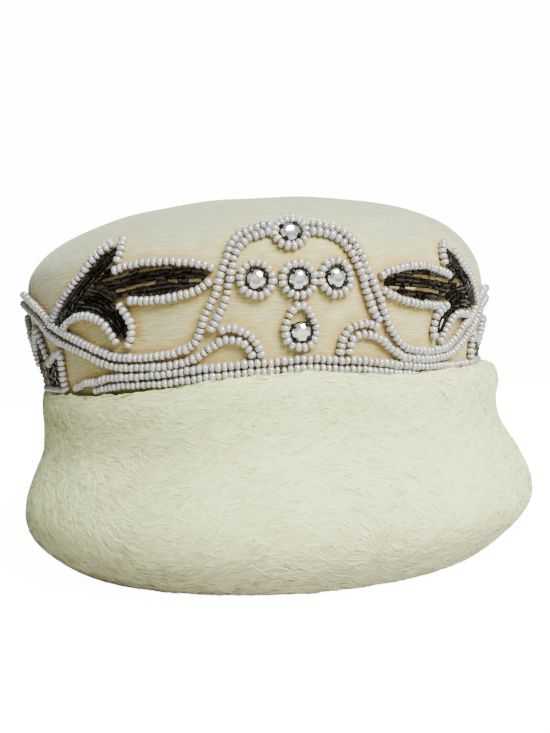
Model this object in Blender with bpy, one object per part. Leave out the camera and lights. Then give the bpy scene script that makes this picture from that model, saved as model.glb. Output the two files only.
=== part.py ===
"""A wool felt hat: a domed crown standing in a wide turned-up brim, with bead embroidery round the crown.

Sizes are in millimetres and turned into metres where points are made. The hat rests on z = 0, with its front
towards -Y. Places on the crown are given as an angle in degrees, from the front towards +X, and a climb: the
distance up the felt from the height where the brim's rim meets the crown. Sections are measured from an axis
through the crown's middle, which ORIGIN_SHIFT moves so that the origin is the middle of the whole hat.
"""

import bisect
import math
from collections import namedtuple

import bmesh
import bpy
from mathutils import Matrix, Vector

MM = 0.001

# The felt
FELT = 2.4
GAP = 0.35
DEPTH_RATIO = 1.07
SIDES = 40
SEAM_HEIGHT = 81.0
ORIGIN_SHIFT = 2.85
CROWN_FOOT = FELT + GAP

# The embroidery
STRING_RADIUS = 1.4
STRING_PROUD = 2.1
STRING_STEP = 8.0
ROW_STEP = 3.25
RING_RADIUS = 5.6
RING_POINTS = 10
RING_STRING_RADIUS = 1.3
TEAR_REACH = 0.68
TEAR_SHARPNESS = 6
FIELD_LOW = 0.95
FIELD_HIGH = 2.9
FIELD_COLUMN = 7.0
FIELD_ROW = 12.0

# A cut stone in its setting: radius and height over the crown, from the base up
STONE_SIDES = 8
StoneRow = namedtuple("StoneRow", "radius proud")
STONE = [
    StoneRow(3.2, 0.55),
    StoneRow(3.7, 1.3),
    StoneRow(3.65, 2.4),
    StoneRow(1.9, 3.6),
]

# Sections of the crown's outer skin, from the foot up: height, half the width, and the centre's shift in X
Section = namedtuple("Section", "height half_width shift")
CROWN = [
    Section(CROWN_FOOT, 86.0, 1.0),
    Section(40.0, 90.8, 0.6),
    Section(74.0, 96.2, -1.2),
    Section(84.0, 98.8, -2.1),
    Section(100.0, 102.2, -2.5),
    Section(112.0, 104.2, -2.7),
    Section(121.0, 104.6, -3.1),
    Section(129.5, 102.6, -3.5),
    Section(138.0, 96.2, -2.5),
    Section(145.4, 85.7, -0.7),
    Section(151.6, 69.3, -0.5),
    Section(155.3, 48.0, -1.0),
    Section(157.0, 24.0, -0.5),
    Section(157.4, 0.5, -0.5),
]
CROWN_TOP = 157.4

# The climbs at which the crown's two skins have a ring of corners
OUTER_RINGS = [-41.0, -7.0, 3.2, 19.0, 32.1, 41.2, 50.6, 61.4, 75.0, 92.0, 113.0]
INNER_RINGS = [-41.0, -3.0, 30.0, 48.0, 66.0, 92.0]

# Sections of the brim's outer skin, from the rim down. follow is the share of the rim's rise that a section takes.
BrimSection = namedtuple("BrimSection", "height half_width shift follow")
RIM_INNER = BrimSection(80.6, 99.3, -1.2, 1.0)
RIM_CREST = BrimSection(81.6, 101.4, -0.4, 1.0)
BRIM = [
    BrimSection(79.5, 104.0, 1.4, 1.0),
    BrimSection(74.0, 105.3, 2.0, 0.9),
    BrimSection(64.0, 105.0, 1.8, 0.75),
    BrimSection(54.0, 105.8, 2.2, 0.6),
    BrimSection(44.0, 110.3, 3.0, 0.45),
    BrimSection(34.0, 114.5, 3.4, 0.3),
    BrimSection(25.0, 115.7, 3.4, 0.2),
    BrimSection(16.5, 113.4, 3.0, 0.1),
    BrimSection(9.5, 108.0, 2.6, 0.05),
    BrimSection(4.0, 101.0, 2.2, 0.0),
    BrimSection(1.0, 95.2, 1.6, 0.0),
]
REST_OUTER = BrimSection(0.0, 91.5, 1.2, 0.0)
REST_INNER = BrimSection(0.0, 83.9, 1.0, 0.0)
RIM_UNDER = BrimSection(77.2, 98.2, -1.2, 1.0)

# How far the rim and the upper base row rise, by angle. The back repeats the front.
RimRow = namedtuple("RimRow", "angle rise row_climb")
RIM = [
    RimRow(-90.0, -3.6, -0.6),
    RimRow(-60.0, -5.4, -1.9),
    RimRow(-50.0, -6.0, 1.0),
    RimRow(-42.0, -5.8, 2.6),
    RimRow(-31.0, -4.4, 2.8),
    RimRow(-25.0, -3.2, 3.6),
    RimRow(-20.0, -1.8, 4.5),
    RimRow(-8.0, -0.5, 5.6),
    RimRow(1.0, 0.1, 6.2),
    RimRow(12.0, -1.6, 4.8),
    RimRow(18.0, -2.6, 3.6),
    RimRow(24.0, -2.6, 2.2),
    RimRow(30.0, -2.3, 1.2),
    RimRow(40.0, -1.6, 1.1),
    RimRow(52.0, -0.8, 1.9),
    RimRow(72.0, 1.1, 3.6),
    RimRow(90.0, 2.0, 4.4),
]

# Soft dents in the brim: where, how deep, and how wide and tall
Dent = namedtuple("Dent", "angle height depth spread reach")
DENTS = [
    Dent(-66.0, 66.0, 1.8, 14.0, 9.0),
    Dent(-38.0, 58.0, 1.0, 12.0, 12.0),
    Dent(62.0, 63.0, 1.6, 12.0, 9.0),
    Dent(34.0, 10.0, 2.2, 20.0, 10.0),
    Dent(66.0, 9.0, 3.4, 28.0, 11.0),
    Dent(-46.0, 8.0, 1.8, 24.0, 10.0),
    Dent(118.0, 60.0, 1.4, 14.0, 12.0),
    Dent(-140.0, 62.0, 1.5, 16.0, 12.0),
]

# Strings of beads: the places that each passes through, chosen by hand, as (angle, climb)
UPPER_LEFT = [
    (-5.2, 55.5),
    (-8.7, 53.5),
    (-11.6, 50.1),
    (-13.2, 44.0),
    (-14.8, 37.5),
    (-16.4, 30.4),
    (-18.6, 23.8),
    (-19.9, 18.0),
    (-22.1, 13.0),
    (-26.5, 10.6),
    (-33.4, 9.6),
    (-41.2, 10.8),
    (-51.0, 18.0),
    (-59.0, 24.0),
    (-65.6, 32.2),
    (-73.2, 37.6),
    (-80.6, 40.6),
    (-90.0, 41.6),
]
LOWER_LEFT = [
    (-9.8, 8.4),
    (-10.9, 12.0),
    (-12.9, 14.3),
    (-15.8, 14.3),
    (-18.5, 11.4),
    (-23.0, 7.5),
    (-29.1, 6.0),
    (-35.6, 6.1),
    (-42.1, 7.2),
    (-51.6, 13.9),
    (-59.9, 19.5),
    (-67.6, 28.4),
    (-74.6, 33.8),
    (-81.6, 36.8),
    (-90.0, 37.7),
]
UPPER_RIGHT = [
    (4.9, 55.2),
    (8.6, 53.4),
    (11.4, 49.8),
    (13.3, 43.2),
    (14.7, 36.8),
    (16.7, 28.8),
    (18.5, 21.5),
    (20.6, 14.8),
    (24.1, 9.4),
    (28.6, 7.7),
    (33.6, 7.5),
    (38.9, 9.3),
    (45.6, 17.2),
    (50.4, 21.6),
    (53.2, 26.6),
    (57.0, 31.4),
    (65.0, 34.4),
    (77.0, 36.4),
    (90.0, 37.2),
]
LOWER_RIGHT = [
    (10.3, 8.4),
    (10.9, 12.2),
    (12.9, 14.4),
    (16.3, 13.6),
    (19.6, 9.8),
    (23.8, 5.6),
    (28.8, 4.4),
    (34.7, 4.4),
    (41.4, 6.3),
    (48.6, 13.8),
    (53.4, 19.4),
    (56.6, 24.6),
    (61.2, 28.6),
    (68.6, 31.0),
    (78.6, 32.6),
    (90.0, 33.2),
]
ARCH_LEFT = [
    (-5.0, 52.1),
    (-8.5, 50.1),
    (-10.8, 46.6),
    (-12.2, 41.4),
    (-13.2, 35.3),
    (-14.5, 28.9),
    (-16.9, 21.4),
]
ARCH_RIGHT = [
    (3.9, 51.6),
    (7.4, 50.6),
    (10.1, 47.0),
    (11.8, 41.6),
    (13.0, 35.6),
    (14.4, 29.2),
    (16.2, 22.3),
]
HOOK_LEFT = [
    (-16.1, 17.8),
    (-13.7, 18.6),
    (-11.0, 16.8),
    (-8.9, 12.5),
    (-7.9, 9.0),
]
HOOK_RIGHT = [
    (16.9, 16.8),
    (14.1, 18.5),
    (10.8, 17.4),
    (8.9, 13.2),
    (8.3, 9.2),
]

# The base rows' ends, as angles at the front
UPPER_BASE_ENDS = (-57.4, 50.4)
LOWER_BASE_ENDS = (-50.0, 18.0)
BASE_STEPS = 12

# The five stones of an arch, by name
STONES = {
    "apex": (-0.6, 51.9),
    "left": (-8.1, 35.3),
    "middle": (0.0, 34.7),
    "right": (7.5, 35.0),
    "drop": (0.1, 16.2),
}

# Outlines of the bead fields: each corner with the bulge, in mm, of the edge from it to the next corner
Corner = namedtuple("Corner", "angle climb bulge")
SPRAY_LEFT = [
    Corner(-17.4, 37.2, 2.7),
    Corner(-35.0, 43.1, -0.6),
    Corner(-37.2, 55.9, -1.2),
    Corner(-57.7, 28.7, 0.0),
    Corner(-54.6, 24.5, -7.0),
    Corner(-37.6, 14.6, 1.7),
    Corner(-36.2, 30.8, 2.7),
]
SPRAY_RIGHT = [
    Corner(51.5, 32.0, -0.9),
    Corner(37.3, 50.4, -0.5),
    Corner(35.8, 38.2, 2.9),
    Corner(18.9, 33.4, 3.4),
    Corner(36.0, 25.9, 1.3),
    Corner(34.0, 10.5, -3.4),
    Corner(47.4, 23.1, 0.4),
]
PALMETTE_LEFT = [
    Corner(-90.0, -0.6, 0.0),
    Corner(-62.6, -1.9, 0.4),
    Corner(-59.4, 13.8, 0.6),
    Corner(-67.4, 9.4, 0.2),
    Corner(-70.6, 25.6, 1.2),
    Corner(-80.8, 9.4, 0.0),
    Corner(-84.0, 19.6, 1.4),
]
PALMETTE_RIGHT = [
    Corner(90.0, 4.7, 0.0),
    Corner(53.6, 2.2, 0.6),
    Corner(52.6, 13.6, 0.4),
    Corner(60.2, 10.4, 0.2),
    Corner(64.4, 21.6, 1.2),
    Corner(76.4, 10.8, 0.0),
    Corner(82.2, 18.8, 1.4),
]
LEFT_TIP_CLIMB = 32.2
RIGHT_TIP_CLIMB = 28.4
EDGE_STEPS = 3


def smooth(rows, steps):
    """Points of the Catmull-Rom curve through the rows, with this many steps in each span."""
    first = [2 * a - b for a, b in zip(rows[0], rows[1])]
    last = [2 * a - b for a, b in zip(rows[-1], rows[-2])]
    padded = [first, *rows, last]
    points = []
    for before, start, end, after in zip(padded, padded[1:], padded[2:], padded[3:]):
        for step in range(steps):
            t = step / steps
            points.append([
                0.5 * (2 * b + (c - a) * t + (2 * a - 5 * b + 4 * c - d) * t**2 + (3 * b - a - 3 * c + d) * t**3)
                for a, b, c, d in zip(before, start, end, after)
            ])
    points.append(list(rows[-1]))
    return points


CROWN_LINE = smooth(CROWN, 30)


def climbs_of(line):
    """The distance along the crown's section to each of its points, counted from the seam's height."""
    lengths = [0.0]
    for lower, upper in zip(line, line[1:]):
        lengths.append(lengths[-1] + math.hypot(upper[0] - lower[0], upper[1] - lower[1]))
    above = bisect.bisect([point[0] for point in line], SEAM_HEIGHT)
    lower, upper = line[above - 1], line[above]
    share = (SEAM_HEIGHT - lower[0]) / (upper[0] - lower[0])
    seam = lengths[above - 1] + share * (lengths[above] - lengths[above - 1])
    return [length - seam for length in lengths]


CROWN_CLIMBS = climbs_of(CROWN_LINE)


def crown_section(climb):
    """The crown's height, half width and shift at a climb."""
    above = min(max(bisect.bisect(CROWN_CLIMBS, climb), 1), len(CROWN_LINE) - 1)
    share = (climb - CROWN_CLIMBS[above - 1]) / (CROWN_CLIMBS[above] - CROWN_CLIMBS[above - 1])
    return [low + share * (high - low) for low, high in zip(CROWN_LINE[above - 1], CROWN_LINE[above])]


def crown_point(angle, climb, proud=0.0):
    """A point this far outside the crown's outer skin."""
    height, half_width, shift = crown_section(climb)
    below, over = crown_section(climb - 0.5), crown_section(climb + 0.5)
    rise, spread = over[0] - below[0], over[1] - below[1]
    length = math.hypot(rise, spread)
    out, up = rise / length, -spread / length
    turn = math.radians(angle)
    return MM * Vector((
        shift - ORIGIN_SHIFT + (half_width + proud * out) * math.sin(turn),
        -(half_width * DEPTH_RATIO + proud * out) * math.cos(turn),
        height + proud * up,
    ))


def degrees_for(distance, angle, climb):
    """The angle that spans a distance in mm round the crown."""
    one_degree = (crown_point(angle + 0.5, climb) - crown_point(angle - 0.5, climb)).length / MM
    return distance / one_degree


def to_back(angle):
    """The angle at the back that mirrors one at the front."""
    return math.copysign(180.0, angle) - angle


def rim_at(angle):
    """The rim's rise and the upper base row's climb at any angle."""
    angle = (angle + 180.0) % 360.0 - 180.0
    if abs(angle) > 90.0:
        angle = to_back(angle)
    above = min(max(bisect.bisect([row.angle for row in RIM], angle), 1), len(RIM) - 1)
    low, high = RIM[above - 1], RIM[above]
    share = (angle - low.angle) / (high.angle - low.angle)
    ease = share * share * (3 - 2 * share)
    return low.rise + ease * (high.rise - low.rise), low.row_climb + ease * (high.row_climb - low.row_climb)


def dented(angle, height):
    """How far the brim's dents push its wall in at a place."""
    depth = 0.0
    for dent in DENTS:
        aside = (angle - dent.angle + 180.0) % 360.0 - 180.0
        depth += dent.depth * math.exp(-((aside / dent.spread) ** 2) - ((height - dent.height) / dent.reach) ** 2)
    return depth


def brim_point(section, inset, rise_out, angle):
    """A point of the brim's skin: inset is how far it lies inside the section, along rise_out's direction."""
    out, up = rise_out
    turn = math.radians(angle)
    half_width = section.half_width - dented(angle, section.height) - inset * out
    half_depth = half_width + section.half_width * (DEPTH_RATIO - 1)
    return MM * Vector((
        section.shift - ORIGIN_SHIFT + half_width * math.sin(turn),
        -half_depth * math.cos(turn),
        section.height - inset * up + section.follow * rim_at(angle)[0],
    ))


def outward(before, after):
    """The outward direction between two sections of a skin listed from the top down, as out and up."""
    fall, spread = before.height - after.height, before.half_width - after.half_width
    length = math.hypot(fall, spread)
    return fall / length, -spread / length


def material(name, colour, roughness, metallic=0.0):
    made = bpy.data.materials.new(name)
    made.use_nodes = True
    shader = made.node_tree.nodes["Principled BSDF"]
    shader.inputs["Base Color"].default_value = (*colour, 1.0)
    shader.inputs["Roughness"].default_value = roughness
    shader.inputs["Metallic"].default_value = metallic
    return made


def add(name, data, finish):
    """An object for one sub-part, in the scene and with its material."""
    piece = bpy.data.objects.new(name, data)
    bpy.context.scene.collection.objects.link(piece)
    data.materials.append(finish)
    return piece


def mesh_from(bm, name):
    bmesh.ops.recalc_face_normals(bm, faces=bm.faces)
    if bm.calc_volume(signed=True) < 0.0:
        bmesh.ops.reverse_faces(bm, faces=bm.faces)
    mesh = bpy.data.meshes.new(name)
    bm.to_mesh(mesh)
    bm.free()
    mesh.shade_smooth()
    mesh.set_sharp_from_angle(angle=math.radians(40))
    return mesh


def turned_bmesh(rings):
    """A wall through rings of corners, each ring a function that gives a point for an angle."""
    bm = bmesh.new()
    bmesh.ops.create_circle(bm, segments=SIDES, radius=1.0)
    angle_layer = bm.verts.layers.float.new("angle")
    bm.verts.ensure_lookup_table()
    for number, corner in enumerate(bm.verts):
        corner[angle_layer] = 360.0 * number / SIDES
        corner.co = rings[0](corner[angle_layer])
    first = list(bm.edges)
    edges = first
    for ring in rings[1:]:
        made = bmesh.ops.extrude_edge_only(bm, edges=edges)["geom"]
        for corner in made:
            if isinstance(corner, bmesh.types.BMVert):
                corner.co = ring(corner[angle_layer])
        edges = [edge for edge in made if isinstance(edge, bmesh.types.BMEdge) and edge.is_boundary]
    return bm, first, edges


def close_with_pole(bm, edges, pole):
    """Closes a ring with a fan whose middle is the pole."""
    face = bmesh.ops.contextual_create(bm, geom=edges)["faces"]
    middle = bmesh.ops.poke(bm, faces=face)["verts"][0]
    middle.co = pole


def crown(finish):
    """One felt shell: down the outer skin from the top, and up the inner skin."""
    foot = CROWN_CLIMBS[0]
    outer = [
        lambda angle, climb=climb: crown_point(angle, climb)
        for climb in reversed([foot, *OUTER_RINGS])
    ]
    inner = [
        lambda angle, climb=climb: crown_point(angle, climb, -FELT)
        for climb in [foot, *INNER_RINGS]
    ]
    bm, top_edges, inner_edges = turned_bmesh([*outer, *inner])
    shift = CROWN[-1].shift - ORIGIN_SHIFT
    close_with_pole(bm, top_edges, MM * Vector((shift, 0.0, CROWN_TOP)))
    close_with_pole(bm, inner_edges, MM * Vector((shift, 0.0, CROWN_TOP - FELT)))
    return add("crown", mesh_from(bm, "crown"), finish)


def brim(finish):
    """One felt shell: down the outer skin from the rim, across the flat rest, and up the inner skin."""
    sections = [RIM_CREST, *BRIM, REST_OUTER]
    outer = [RIM_INNER, *sections, REST_INNER]
    inner = []
    for before, section, after in zip(sections, sections[1:], sections[2:]):
        inner.append((section, outward(before, after)))
    rings = [lambda angle, row=row: brim_point(row, 0.0, (0.0, 0.0), angle) for row in outer]
    rings.append(lambda angle: brim_point(REST_INNER, FELT, (0.0, -1.0), angle))
    rings.append(lambda angle: brim_point(REST_OUTER, FELT, (0.0, -1.0), angle))
    for section, direction in reversed(inner[1::2]):
        rings.append(lambda angle, row=section, way=direction: brim_point(row, FELT, way, angle))
    rings.append(lambda angle: brim_point(RIM_UNDER, 0.0, (0.0, 0.0), angle))
    bm, first, last = turned_bmesh(rings)
    bmesh.ops.bridge_loops(bm, edges=[*first, *last])
    return add("brim", mesh_from(bm, "brim"), finish)


def route(places, proud=STRING_PROUD):
    """Points of the smooth curve through places on the crown, at most a step apart."""
    fine = 12
    line = [crown_point(angle, climb, proud) for angle, climb in smooth(places, fine)]
    points = []
    for start in range(0, len(line) - 1, fine):
        span = line[start:start + fine + 1]
        length = sum((b - a).length for a, b in zip(span, span[1:]))
        pieces = max(1, round(length / (STRING_STEP * MM)))
        points += [span[round(fine * piece / pieces)] for piece in range(pieces)]
    points.append(line[-1])
    return points


def string(name, points, finish, closed=False, radius=STRING_RADIUS):
    """A string of seed beads as a plain tube of their outer diameter."""
    curve = bpy.data.curves.new(name, "CURVE")
    curve.dimensions = "3D"
    curve.bevel_depth = radius * MM
    curve.bevel_resolution = 2
    curve.use_fill_caps = True
    spline = curve.splines.new("POLY")
    spline.points.add(len(points) - 1)
    for place, point in zip(spline.points, points):
        place.co = (*point, 1.0)
    spline.use_cyclic_u = closed
    return add(name, curve, finish)


def mirrored(places):
    return [(to_back(angle), climb) for angle, climb in places]


def base_rows(finish):
    """The plain rows along the brim, at the front and at the back."""
    for place, turn in (("front", lambda angle: angle), ("back", to_back)):
        for name, ends, drop in (("upper", UPPER_BASE_ENDS, 0.0), ("lower", LOWER_BASE_ENDS, ROW_STEP)):
            start, end = ends
            places = []
            for step in range(BASE_STEPS + 1):
                angle = start + (end - start) * step / BASE_STEPS
                places.append((angle, rim_at(angle)[1] - drop))
            if place == "back":
                left = [(turn(angle), climb) for angle, climb in places if angle < 0.0]
                right = [(turn(angle) - 360.0, climb) for angle, climb in places if angle >= 0.0]
                places = [*left, *right]
            string(f"base_row_{name}_{place}", route(places), finish)


def scallops(finish):
    """The two strings on each side that rise in arches and dip between them, from the front to the back."""
    for name, places in (
        ("scallop_upper_left", UPPER_LEFT),
        ("scallop_lower_left", LOWER_LEFT),
        ("scallop_upper_right", UPPER_RIGHT),
        ("scallop_lower_right", LOWER_RIGHT),
    ):
        whole = [*places, *reversed(mirrored(places[:-1]))]
        string(name, route(whole), finish)


def arch_strings(finish):
    """The inner string of each arch's two sides, and the hook at each foot."""
    for name, places in (
        ("arch_left", ARCH_LEFT),
        ("arch_right", ARCH_RIGHT),
        ("hook_left", HOOK_LEFT),
        ("hook_right", HOOK_RIGHT),
    ):
        string(f"{name}_front", route(places), finish)
        string(f"{name}_back", route(mirrored(places)), finish)


def ring_places(angle, climb, drop_shaped):
    """Places on a ring round a stone, drawn out upwards to a tip if it is drop shaped."""
    places = []
    for number in range(RING_POINTS):
        turn = 2 * math.pi * number / RING_POINTS
        reach = RING_RADIUS
        if drop_shaped:
            reach *= 1 + TEAR_REACH * max(0.0, math.cos(turn)) ** TEAR_SHARPNESS
        aside = degrees_for(reach * math.sin(turn), angle, climb)
        places.append((angle + aside, climb + reach * math.cos(turn)))
    return places


def stone_mesh():
    """A cut stone fused to its setting: a cup, a girdle, eight facets and a flat table."""
    bm = bmesh.new()
    bmesh.ops.create_circle(bm, segments=STONE_SIDES, radius=STONE[0].radius * MM)
    underside = edges = list(bm.edges)
    for lower, upper in zip(STONE, STONE[1:]):
        made = bmesh.ops.extrude_edge_only(bm, edges=edges)["geom"]
        corners = [item for item in made if isinstance(item, bmesh.types.BMVert)]
        edges = [item for item in made if isinstance(item, bmesh.types.BMEdge) and item.is_boundary]
        grow = upper.radius / lower.radius
        bmesh.ops.scale(bm, vec=(grow, grow, 1.0), verts=corners)
        bmesh.ops.translate(bm, vec=(0.0, 0.0, (upper.proud - lower.proud) * MM), verts=corners)
    for ring in (underside, edges):
        bmesh.ops.contextual_create(bm, geom=ring)
    return mesh_from(bm, "stone")


def crown_frame(angle, climb, proud):
    """The place and turn of something that sits on the crown: X round it, Y up the felt, Z outwards."""
    place = crown_point(angle, climb, proud)
    round_it = (crown_point(angle + 0.5, climb) - crown_point(angle - 0.5, climb)).normalized()
    outwards = round_it.cross(crown_point(angle, climb + 0.5) - crown_point(angle, climb - 0.5)).normalized()
    up_it = outwards.cross(round_it)
    turn = Matrix((round_it, up_it, outwards)).transposed()
    return Matrix.Translation(place) @ turn.to_4x4()


def stones(stone_finish, ring_finish):
    """Each arch's five stones, with a ring of seed beads round each."""
    mesh = stone_mesh()
    for place in ("front", "back"):
        for name, (angle, climb) in STONES.items():
            seat = to_back(angle) if place == "back" else angle
            stone = bpy.data.objects.new(f"stone_{name}_{place}", mesh)
            bpy.context.scene.collection.objects.link(stone)
            stone.matrix_world = crown_frame(seat, climb, STONE[0].proud)
            places = ring_places(seat, climb, name == "drop")
            points = [crown_point(*point, RING_STRING_RADIUS + 2 * GAP) for point in places]
            string(f"ring_{name}_{place}", points, ring_finish, closed=True, radius=RING_STRING_RADIUS)
    mesh.materials.append(stone_finish)


def outline(corners):
    """Points round a bead field: each edge bows out by its bulge, in degrees and millimetres on the felt."""
    points = []
    for corner, after in zip(corners, [*corners[1:], corners[0]]):
        one_degree = 1.0 / degrees_for(1.0, corner.angle, corner.climb)
        run, rise = (after.angle - corner.angle) * one_degree, after.climb - corner.climb
        length = math.hypot(run, rise)
        for step in range(EDGE_STEPS):
            t = step / EDGE_STEPS
            bow = 4 * t * (1 - t) * corner.bulge
            aside = (t * run - bow * rise / length) / one_degree
            points.append((corner.angle + aside, corner.climb + t * rise + bow * run / length))
    return points


def area_sign(points):
    """1 if the points run from +angle to +climb, and -1 if they run the other way round."""
    total = 0.0
    for (a, b), (c, d) in zip(points, [*points[1:], points[0]]):
        total += a * d - b * c
    return math.copysign(1.0, total)


def field(name, corners, finish, back=False):
    """A field of beads as one raised solid: its outline is cut into small faces and bent round the crown."""
    turned = area_sign([(corner.angle, corner.climb) for corner in corners])
    points = outline([Corner(c.angle, c.climb, -turned * c.bulge) for c in corners])
    bm = bmesh.new()
    face = bm.faces.new([bm.verts.new((angle, climb, 0.0)) for angle, climb in points])
    face.normal_update()
    if face.normal.z < 0:
        face.normal_flip()
    angles, climbs = [point[0] for point in points], [point[1] for point in points]
    cuts = []
    for step in range(1, int((max(angles) - min(angles)) / FIELD_COLUMN) + 1):
        cuts.append(((min(angles) + step * FIELD_COLUMN, 0.0, 0.0), (1.0, 0.0, 0.0)))
    for step in range(1, int((max(climbs) - min(climbs)) / FIELD_ROW) + 1):
        cuts.append(((0.0, min(climbs) + step * FIELD_ROW, 0.0), (0.0, 1.0, 0.0)))
    for point, normal in cuts:
        geometry = [*bm.verts, *bm.edges, *bm.faces]
        bmesh.ops.bisect_plane(bm, geom=geometry, dist=1e-4, plane_co=point, plane_no=normal)
    bmesh.ops.triangulate(bm, faces=bm.faces)
    made = bmesh.ops.extrude_face_region(bm, geom=list(bm.faces))["geom"]
    top = {item for item in made if isinstance(item, bmesh.types.BMVert)}
    for corner in bm.verts:
        angle, climb = corner.co.x, corner.co.y
        if back:
            angle = to_back(angle)
        corner.co = crown_point(angle, climb, FIELD_HIGH if corner in top else FIELD_LOW)
    return add(name, mesh_from(bm, name), finish)


def palmette_corners(half, tip_climb):
    """A whole palmette, from its front half, its tip over the middle and the mirrored half."""
    side = math.copysign(90.0, half[0].angle)
    tip = Corner(side, tip_climb, half[-1].bulge)
    corners = [*half, tip]
    front = half[1:]
    bulges = [corner.bulge for corner in reversed(front)]
    for corner, bulge in zip(reversed(front), [*bulges[1:], half[0].bulge]):
        corners.append(Corner(to_back(corner.angle), corner.climb, bulge))
    return corners


def bead_fields(finish):
    """The leaf sprays beside each arch, and a palmette in each side's arch."""
    for place, back in (("front", False), ("back", True)):
        field(f"leaf_spray_left_{place}", SPRAY_LEFT, finish, back)
        field(f"leaf_spray_right_{place}", SPRAY_RIGHT, finish, back)
    field("palmette_left", palmette_corners(PALMETTE_LEFT, LEFT_TIP_CLIMB), finish)
    field("palmette_right", palmette_corners(PALMETTE_RIGHT, RIGHT_TIP_CLIMB), finish)


def main():
    for item in list(bpy.data.objects):
        bpy.data.objects.remove(item, do_unlink=True)
    felt = material("cream felt", (0.72, 0.70, 0.53), 0.95)
    nap = material("long-haired felt", (0.74, 0.74, 0.58), 0.97)
    pearl = material("pearl seed beads", (0.78, 0.76, 0.76), 0.25)
    dark = material("dark bugle beads", (0.05, 0.04, 0.03), 0.3, 0.4)
    crystal = material("foiled crystal", (0.80, 0.82, 0.85), 0.08, 0.6)
    crown(felt)
    brim(nap)
    base_rows(pearl)
    scallops(pearl)
    arch_strings(pearl)
    stones(crystal, pearl)
    bead_fields(dark)


main()
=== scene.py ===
"""The looks of a cream wool felt hat: brushed felt, a long-haired turned-up brim and bead embroidery.

Sizes are in millimetres and turned into metres where points are made. Places on the crown are an angle in
degrees, from the front (-Y) towards +X, and a climb: the distance up the felt from the rim's height.
"""

import math
from collections import namedtuple

import bmesh
import bpy
import numpy as np
from bpy.props import FloatProperty, FloatVectorProperty, IntProperty, PointerProperty
from mathutils import Matrix, Vector
from mathutils.kdtree import KDTree


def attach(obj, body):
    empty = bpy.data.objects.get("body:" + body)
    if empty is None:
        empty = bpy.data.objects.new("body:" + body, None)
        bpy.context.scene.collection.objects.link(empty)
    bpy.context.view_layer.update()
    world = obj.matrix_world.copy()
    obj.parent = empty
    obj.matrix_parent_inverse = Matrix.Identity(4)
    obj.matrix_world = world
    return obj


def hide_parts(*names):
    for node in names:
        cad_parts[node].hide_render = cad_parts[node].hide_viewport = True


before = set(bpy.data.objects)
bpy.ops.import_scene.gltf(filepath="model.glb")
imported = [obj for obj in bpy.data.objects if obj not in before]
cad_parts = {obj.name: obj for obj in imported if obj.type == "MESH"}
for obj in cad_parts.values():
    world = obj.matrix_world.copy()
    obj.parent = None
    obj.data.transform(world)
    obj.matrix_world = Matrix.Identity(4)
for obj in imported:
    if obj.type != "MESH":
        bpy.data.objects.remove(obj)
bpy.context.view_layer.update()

bl_info = {
    "name": "Beaded Wool Hat",
    "version": (1, 0, 0),
    "blender": (4, 5, 0),
    "location": "View3D > Sidebar > Wool Hat",
    "description": "Builds the felt, nap, beads, cut stones and studio of a beaded wool hat",
    "category": "Add Mesh",
}

MM = 0.001
ROOT = "root"
# Corners nearer than this, in metres, are one
WELD = 0.0001
# Texture space on the felt: one unit is a centimetre
UV_UNIT = 0.1
# Height in pixels of the picture that the camera's focal length is for
PICTURE_HEIGHT = 733.0
# The two ends of the hat, and whether each is the mirrored one
ENDS = (("front", False), ("back", True))
# Steps in each span of a smoothed line, and in a whole base row and ring
CROWN_STEPS = 30
BRIM_STEPS = 24
STRING_STEPS = 12
OUTLINE_STEPS = 6
EDGING_STEPS = 8
FLOW_STEPS = 16
EDGE_STEPS = 16
BASE_ROW_STEPS = 60
RING_STEPS = 72

# The felt, as the solids have it
FELT = 2.4
GAP = 0.35
DEPTH_RATIO = 1.07
SEAM_HEIGHT = 81.0
ORIGIN_SHIFT = 2.85
CROWN_TOP = 157.4
MEAN_RADIUS = 108.0

# Patterns of waves: a seed, the fewest and the most waves round the hat, and how far they slant
Waves = namedtuple("Waves", "seed fewest most slant")
CROWN_WAVES = Waves(5, 3, 13, 0.14)
BRIM_WAVES = Waves(11, 4, 17, 0.12)
BROAD_LAY = Waves(21, 2, 7, 0.05)
FINE_LAY = Waves(22, 8, 24, 0.2)
WAVE_COUNT = 7
# How high the waves stand in the skin of the crown and of the brim
CROWN_SWELL = 0.3
BRIM_SWELL = 0.45

# The crown's outer skin from the foot up: height, half the width, and the centre's shift in X
CROWN = [
    (FELT + GAP, 86.0, 1.0),
    (40.0, 90.8, 0.6),
    (74.0, 96.2, -1.2),
    (84.0, 98.8, -2.1),
    (100.0, 102.2, -2.5),
    (112.0, 104.2, -2.7),
    (121.0, 104.6, -3.1),
    (129.5, 102.6, -3.5),
    (138.0, 96.2, -2.5),
    (145.4, 85.7, -0.7),
    (151.6, 69.3, -0.5),
    (155.3, 48.0, -1.0),
    (157.0, 24.0, -0.5),
    (CROWN_TOP, 0.5, -0.5),
]

# The brim's outer skin from the rim down: height, half width, shift, and the share of the rim's rise taken
BRIM = [
    (80.6, 99.3, -1.2, 1.0),
    (81.6, 101.4, -0.4, 1.0),
    (79.5, 104.0, 1.4, 1.0),
    (74.0, 105.3, 2.0, 0.9),
    (64.0, 105.0, 1.8, 0.75),
    (54.0, 105.8, 2.2, 0.6),
    (44.0, 110.3, 3.0, 0.45),
    (34.0, 114.5, 3.4, 0.3),
    (25.0, 115.7, 3.4, 0.2),
    (16.5, 113.4, 3.0, 0.1),
    (9.5, 108.0, 2.6, 0.05),
    (4.0, 101.0, 2.2, 0.0),
    (1.0, 95.2, 1.6, 0.0),
    (0.0, 91.5, 1.2, 0.0),
]
REST_INNER = (0.0, 83.9, 1.0, 0.0)
RIM_UNDER = (77.2, 98.2, -1.2, 1.0)

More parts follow.
